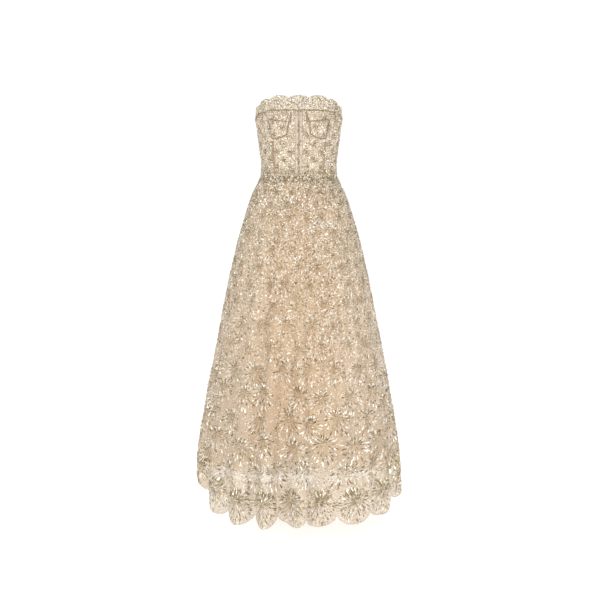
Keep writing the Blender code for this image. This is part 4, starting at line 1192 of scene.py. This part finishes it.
# Rings of a star's drops: reach, how many fewer than its rays, length, shares of the tones
starRings = [(0.42, 3, 0.0046, [0.40, 0.46, 0.10, 0.02, 0.02]),
             (0.82, 0, 0.0058, [0.28, 0.46, 0.14, 0.04, 0.08])]
starHeart = {"unlevel": 0.0015, "reach": 0.0018, "beads": 4}
# Loose pieces of the bodice: kind, number, lowest share of its height, how far below the edge they
# stop. The last are on the net above the top seam, where no satin backs them
looseKinds = [("bead", 9000, 0.0, 0.002), ("disc", 2600, 0.0, 0.003), ("net", 4200, 0.80, 0.002)]
seamBeads = {"low": 0.004, "high": 0.1950, "step": 0.0034, "aside": 0.22}
neckFan = {"above": 0.0055, "rays": 19, "spread": 1.50, "adrift": 0.04, "knotReach": 0.0030, "knot": 8,
           "edgeStep": 0.0038, "edgeInset": 0.0018}
# Rings of a neckline fan: reach, length, kind, shares of the tones
fanRings = [(0.30, 0.0090, "fanBead", [0.2, 0.2, 0.2, 0.2, 0.2]),
            (0.55, 0.0085, "fanBead", [0.1, 0.15, 0.25, 0.25, 0.25]),
            (0.80, 0.0068, "fanDrop", [0.10, 0.15, 0.2, 0.25, 0.3])]
tapeLift = {"lift": 0.0021, "share": 0.18, "middle": 8.0, "middleShare": 0.45}
bodiceKinds = {
    "drop": ("drop", None, 0.0023, 0.0010, 0.0009, 0.34, foilTones, None),
    "heart": ("bead", 0.0028, 0.0026, 0.0022, 0.0009, 0.3, [0.03, 0.16, 0.42], [0.5, 0.4, 0.1]),
    "bead": ("bead", 0.0028, 0.0024, 0.0020, 0.0008, 0.3, [0.1, 0.42, 0.66, 0.95], [0.10, 0.28, 0.18, 0.44]),
    "disc": ("disc", 0.0037, 0.0034, 0.0006, 0.0008, 0.35, foilTones, [0.06, 0.12, 0.18, 0.18, 0.46]),
    "net": ("bead", 0.0031, 0.0027, 0.0021, 0.0008, 0.3, [0.06, 0.22, 0.42, 0.66, 0.95],
            [0.16, 0.32, 0.30, 0.08, 0.14]),
    "seam": ("bead", 0.0028, 0.0022, 0.0020, 0.0008, 0.2, [0.06, 0.2, 0.42], [0.5, 0.35, 0.15]),
    "fanBead": ("bead", None, 0.0012, 0.0010, 0.0008, 0.2, foilTones, None),
    "fanDrop": ("drop", None, 0.0021, 0.0010, 0.0008, 0.2, foilTones, None),
    "knot": ("bead", 0.0028, 0.0026, 0.0024, 0.0009, 0.3, [0.03, 0.16, 0.42, 0.9], [0.5, 0.3, 0.1, 0.1]),
    "edge": ("bead", 0.0026, 0.0022, 0.0020, 0.0006, 0.3, [0.2, 0.42, 0.66, 0.95], [0.15, 0.25, 0.3, 0.3]),
}


def starPlaces(rng, rings, look, height, offset):
    columns = look["columns"]
    steps = np.arange(columns) - columns // 2 + offset
    centre = angleAt(rings, steps * ringPitch(rings, height, columns), np.full(columns, height))
    heights = height + rng.uniform(-starHeart["unlevel"], starHeart["unlevel"], columns)
    drops = []
    for reach, fewer, size, shares in starRings:
        spots = placesRound(rng, rings, centre, heights, reach * look["radius"], look["rays"] - fewer,
                            0.5 * reach, look["droop"], 0.5)
        drops.append(dressed(rng, spots, bodiceKinds["drop"], length=size, shares=shares))
    spots = placesRound(rng, rings, centre, heights, starHeart["reach"], starHeart["beads"], 0.0, 1.0, 0.5)
    return drops, [dressed(rng, spots, bodiceKinds["heart"])]


rng = np.random.default_rng(57)
bodiceDrops, bodiceBeads = [], []
starRows = [(star, star["firstRow"] + row * star["rowStep"], 0.5 * ((row + 1) % 2))
            for row in range(star["rows"])]
for look, height, offset in starRows + [(waistRow, waistRow["above"], 0.0)]:
    drops, beads = starPlaces(rng, bodiceRings, look, height, offset)
    bodiceDrops += drops
    bodiceBeads += beads
for kind, number, low, below in looseKinds:
    spots = scattered(rng, bodiceRings, number, (low, 1.0), lambda angle: neckEdgeHeight(angle) - below)
    (bodiceDrops if kind == "disc" else bodiceBeads).append(dressed(rng, spots, bodiceKinds[kind]))
# Dark beads thick on the waist and in a line down the centre front seam
spots = scattered(rng, bodiceRings, scatter["waist"], (0.0, 0.10), lambda angle: 0.25 + 0 * angle)
bodiceBeads.append(dressed(rng, spots, skirtKinds["waist"]))
height = np.arange(seamBeads["low"], seamBeads["high"], seamBeads["step"])
spots = {"angle": rng.normal(0, seamBeads["aside"], len(height)), "height": height,
         "turn": rng.uniform(0, 6.28, len(height))}
bodiceBeads.append(dressed(rng, spots, bodiceKinds["seam"]))
# Fans of the neckline: rays that point up from a dark knot at the foot of each scallop
centre = (np.arange(neckCut["scallops"]) - neckCut["scallops"] // 2) * 360.0 / neckCut["scallops"]
knot = topHeight(centre) + neckFan["above"]
netHeight = tableColumn(topLine, 2, np.abs(wrapped(centre)))
rays = math.pi + np.linspace(-neckFan["spread"], neckFan["spread"], neckFan["rays"])[None, :]
for reach, size, kind, shares in fanRings:
    direction = rays + rng.uniform(-neckFan["adrift"], neckFan["adrift"], (len(centre), neckFan["rays"]))
    distance = (reach * netHeight)[:, None] * (0.94 + 0.12 * rng.uniform(0, 1, direction.shape))
    spots = placesAlong(bodiceRings, centre, knot, direction, distance)
    (bodiceDrops if kind == "fanDrop" else bodiceBeads).append(
        dressed(rng, spots, bodiceKinds[kind], length=size, shares=shares))
spots = placesRound(rng, bodiceRings, centre, knot, neckFan["knotReach"], neckFan["knot"], 0.0, 1.0, 0.5)
bodiceBeads.append(dressed(rng, spots, bodiceKinds["knot"]))
spots = edgeRow(neckEdgeHeight, bodiceSurface, neckFan["edgeStep"], -neckFan["edgeInset"])
bodiceBeads.append(dressed(rng, spots, bodiceKinds["edge"]))
for word, sets, look in (("Sequins", bodiceDrops, "foil"), ("Beads", bodiceBeads, "bead")):
    for place, front in (("bodiceFront", True), ("bodiceBack", False)):
        chosen = []
        for places in sets:
            at = np.abs(wrapped(places["angle"]))
            level = places["height"]
            mask = ((at < 90) == front) & (level > 0.0015) & (level < neckEdgeHeight(at) - 0.0008)
            onTape = tapeCells[cellOf(places["angle"], level)]
            share = np.where(at < tapeLift["middle"], tapeLift["middleShare"], tapeLift["share"])
            mask &= ~onTape | (rng.uniform(0, 1, len(at)) < share)
            raised = dict(places, lift=places["lift"] + tapeLift["lift"] * onTape)
            chosen.append(kept(raised, mask & offZip(places, bodiceSurface)))
        sewn.setdefault(place, []).append(sewOn(place + word, bodiceSurface, chosen, look))
rng = np.random.default_rng(63)
drops, beads = starPlaces(rng, skirtRings, waistRow, waistRow["below"], 0.5)
spots = scattered(rng, skirtRings, scatter["waist"], scatter["waistShares"], hemPlainAt)
beads.append(dressed(rng, spots, skirtKinds["waist"]))
for word, sets, look in (("Sequins", drops, "foil"), ("Beads", beads, "bead")):
    chosen = [kept(places, (places["height"] < -0.0015) & offZip(places, skirtSurface)) for places in sets]
    sewn.setdefault("waist", []).append(sewOn("waistSeam" + word, skirtSurface, chosen, look))
print("bodice embroidery made")

# Zip teeth, in turn left and right of the middle of the chain, with room for the slider
teeth = {"pitch": 0.0021, "length": 0.0017, "width": 0.0011, "rise": 0.0007, "aside": 0.0006,
         "slider": (0.1480, 0.1605)}
height = np.arange(zipRoom["bottom"] + 0.003, float(topHeight(180.0)) - 0.004, teeth["pitch"])
height = height[(height < teeth["slider"][0]) | (height > teeth["slider"][1])]
sideOfTooth = np.where(np.arange(len(height)) % 2 == 0, 1, -1)
above = height > 0
spot = np.where(above[:, None], bodiceSurface(180.0 + 0 * height, np.maximum(height, 0)),
                ringPoint(skirtSections, 180.0 + 0 * height, np.minimum(height, 0),
                          foldPush(180.0) * foldGrowth(np.minimum(height, 0))))
corner = np.array([(x, y, z) for x in (-0.5, 0.5) for y in (-0.5, 0.5) for z in (-0.5, 0.5)])
box = np.array([(0, 1, 3, 2), (4, 6, 7, 5), (0, 4, 5, 1), (2, 3, 7, 6), (0, 2, 6, 4), (1, 5, 7, 3)])
size = np.array([teeth["length"], teeth["rise"], teeth["width"]])
shift = np.stack([sideOfTooth * teeth["aside"], 0.0003 + 0 * height, 0 * height], axis=-1)
points = (spot + shift)[:, None, :] + corner[None] * size
faces = (box[None] + 8 * np.arange(len(height))[:, None, None]).reshape(-1, 4)
makePiece("zipTeeth", points.reshape(-1, 3), [faces], looks["metal"], smooth=False)
for node in ("zip_chain", "zip_slider", "zip_pull"):
    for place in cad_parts[node].material_slots:
        place.material = looks["metal"]

# Plain pale floor, soft studio light and the camera at the photo's angle
studio = {"floor": -1.13, "floorSize": 60.0, "world": 0.55, "backdrop": 1.02, "keyPower": 44.0,
          "fillPower": 41.0, "backPower": 24.0}
viewpoint = {"distance": 3.0, "aside": 0.0035, "pitch": 7.54, "lens": 56.22}
half = studio["floorSize"] / 2
mesh = bpy.data.meshes.new("floor")
mesh.from_pydata([(-half, -half, studio["floor"]), (half, -half, studio["floor"]),
                  (half, half, studio["floor"]), (-half, half, studio["floor"])], [], [(0, 1, 2, 3)])
made, tree, shader = newMaterial("paleFloor", (0.80, 0.80, 0.80), 0.9)
shader.inputs["Emission Color"].default_value = (1, 1, 1, 1)
shader.inputs["Emission Strength"].default_value = 0.62
mesh.materials.append(made)
floor = bpy.data.objects.new("floor", mesh)
bpy.context.scene.collection.objects.link(floor)
world = bpy.data.worlds.new("studio")
world.use_nodes = True
world.node_tree.nodes["Background"].inputs["Color"].default_value = (1, 1, 1, 1)
# The room is white where it is seen, and lights the gown more softly than that
seen = addNode(world.node_tree, "ShaderNodeLightPath").outputs["Is Camera Ray"]
strength = mathNode(world.node_tree, "MULTIPLY_ADD", seen, studio["backdrop"] - studio["world"],
                    studio["world"])
world.node_tree.links.new(strength, world.node_tree.nodes["Background"].inputs["Strength"])
bpy.context.scene.world = world
for name, place, turn, power, size in (
        ("keyLight", (-2.0, -2.6, 0.25), (78, 0, -38), studio["keyPower"], 1.0),
        ("fillLight", (2.2, -2.5, -0.45), (90, 0, 41), studio["fillPower"], 1.2),
        ("backLight", (0.8, 2.6, 1.8), (-58, 0, -17), studio["backPower"], 2.0)):
    lamp = bpy.data.lights.new(name, "AREA")
    lamp.energy, lamp.size = power, size
    light = bpy.data.objects.new(name, lamp)
    light.location = place
    light.rotation_euler = [math.radians(x) for x in turn]
    bpy.context.scene.collection.objects.link(light)
lens = bpy.data.cameras.new("camera")
lens.sensor_width, lens.lens = 36.0, viewpoint["lens"]
lens.clip_start, lens.clip_end = 0.05, 100.0
camera = bpy.data.objects.new("camera", lens)
camera.location = (viewpoint["aside"], -viewpoint["distance"], 0.0)
camera.rotation_euler = (math.radians(90.0 - viewpoint["pitch"]), 0.0, 0.0)
bpy.context.scene.collection.objects.link(camera)
bpy.context.scene.camera = camera
bpy.context.scene.view_settings.view_transform = "Standard"
print("studio set")
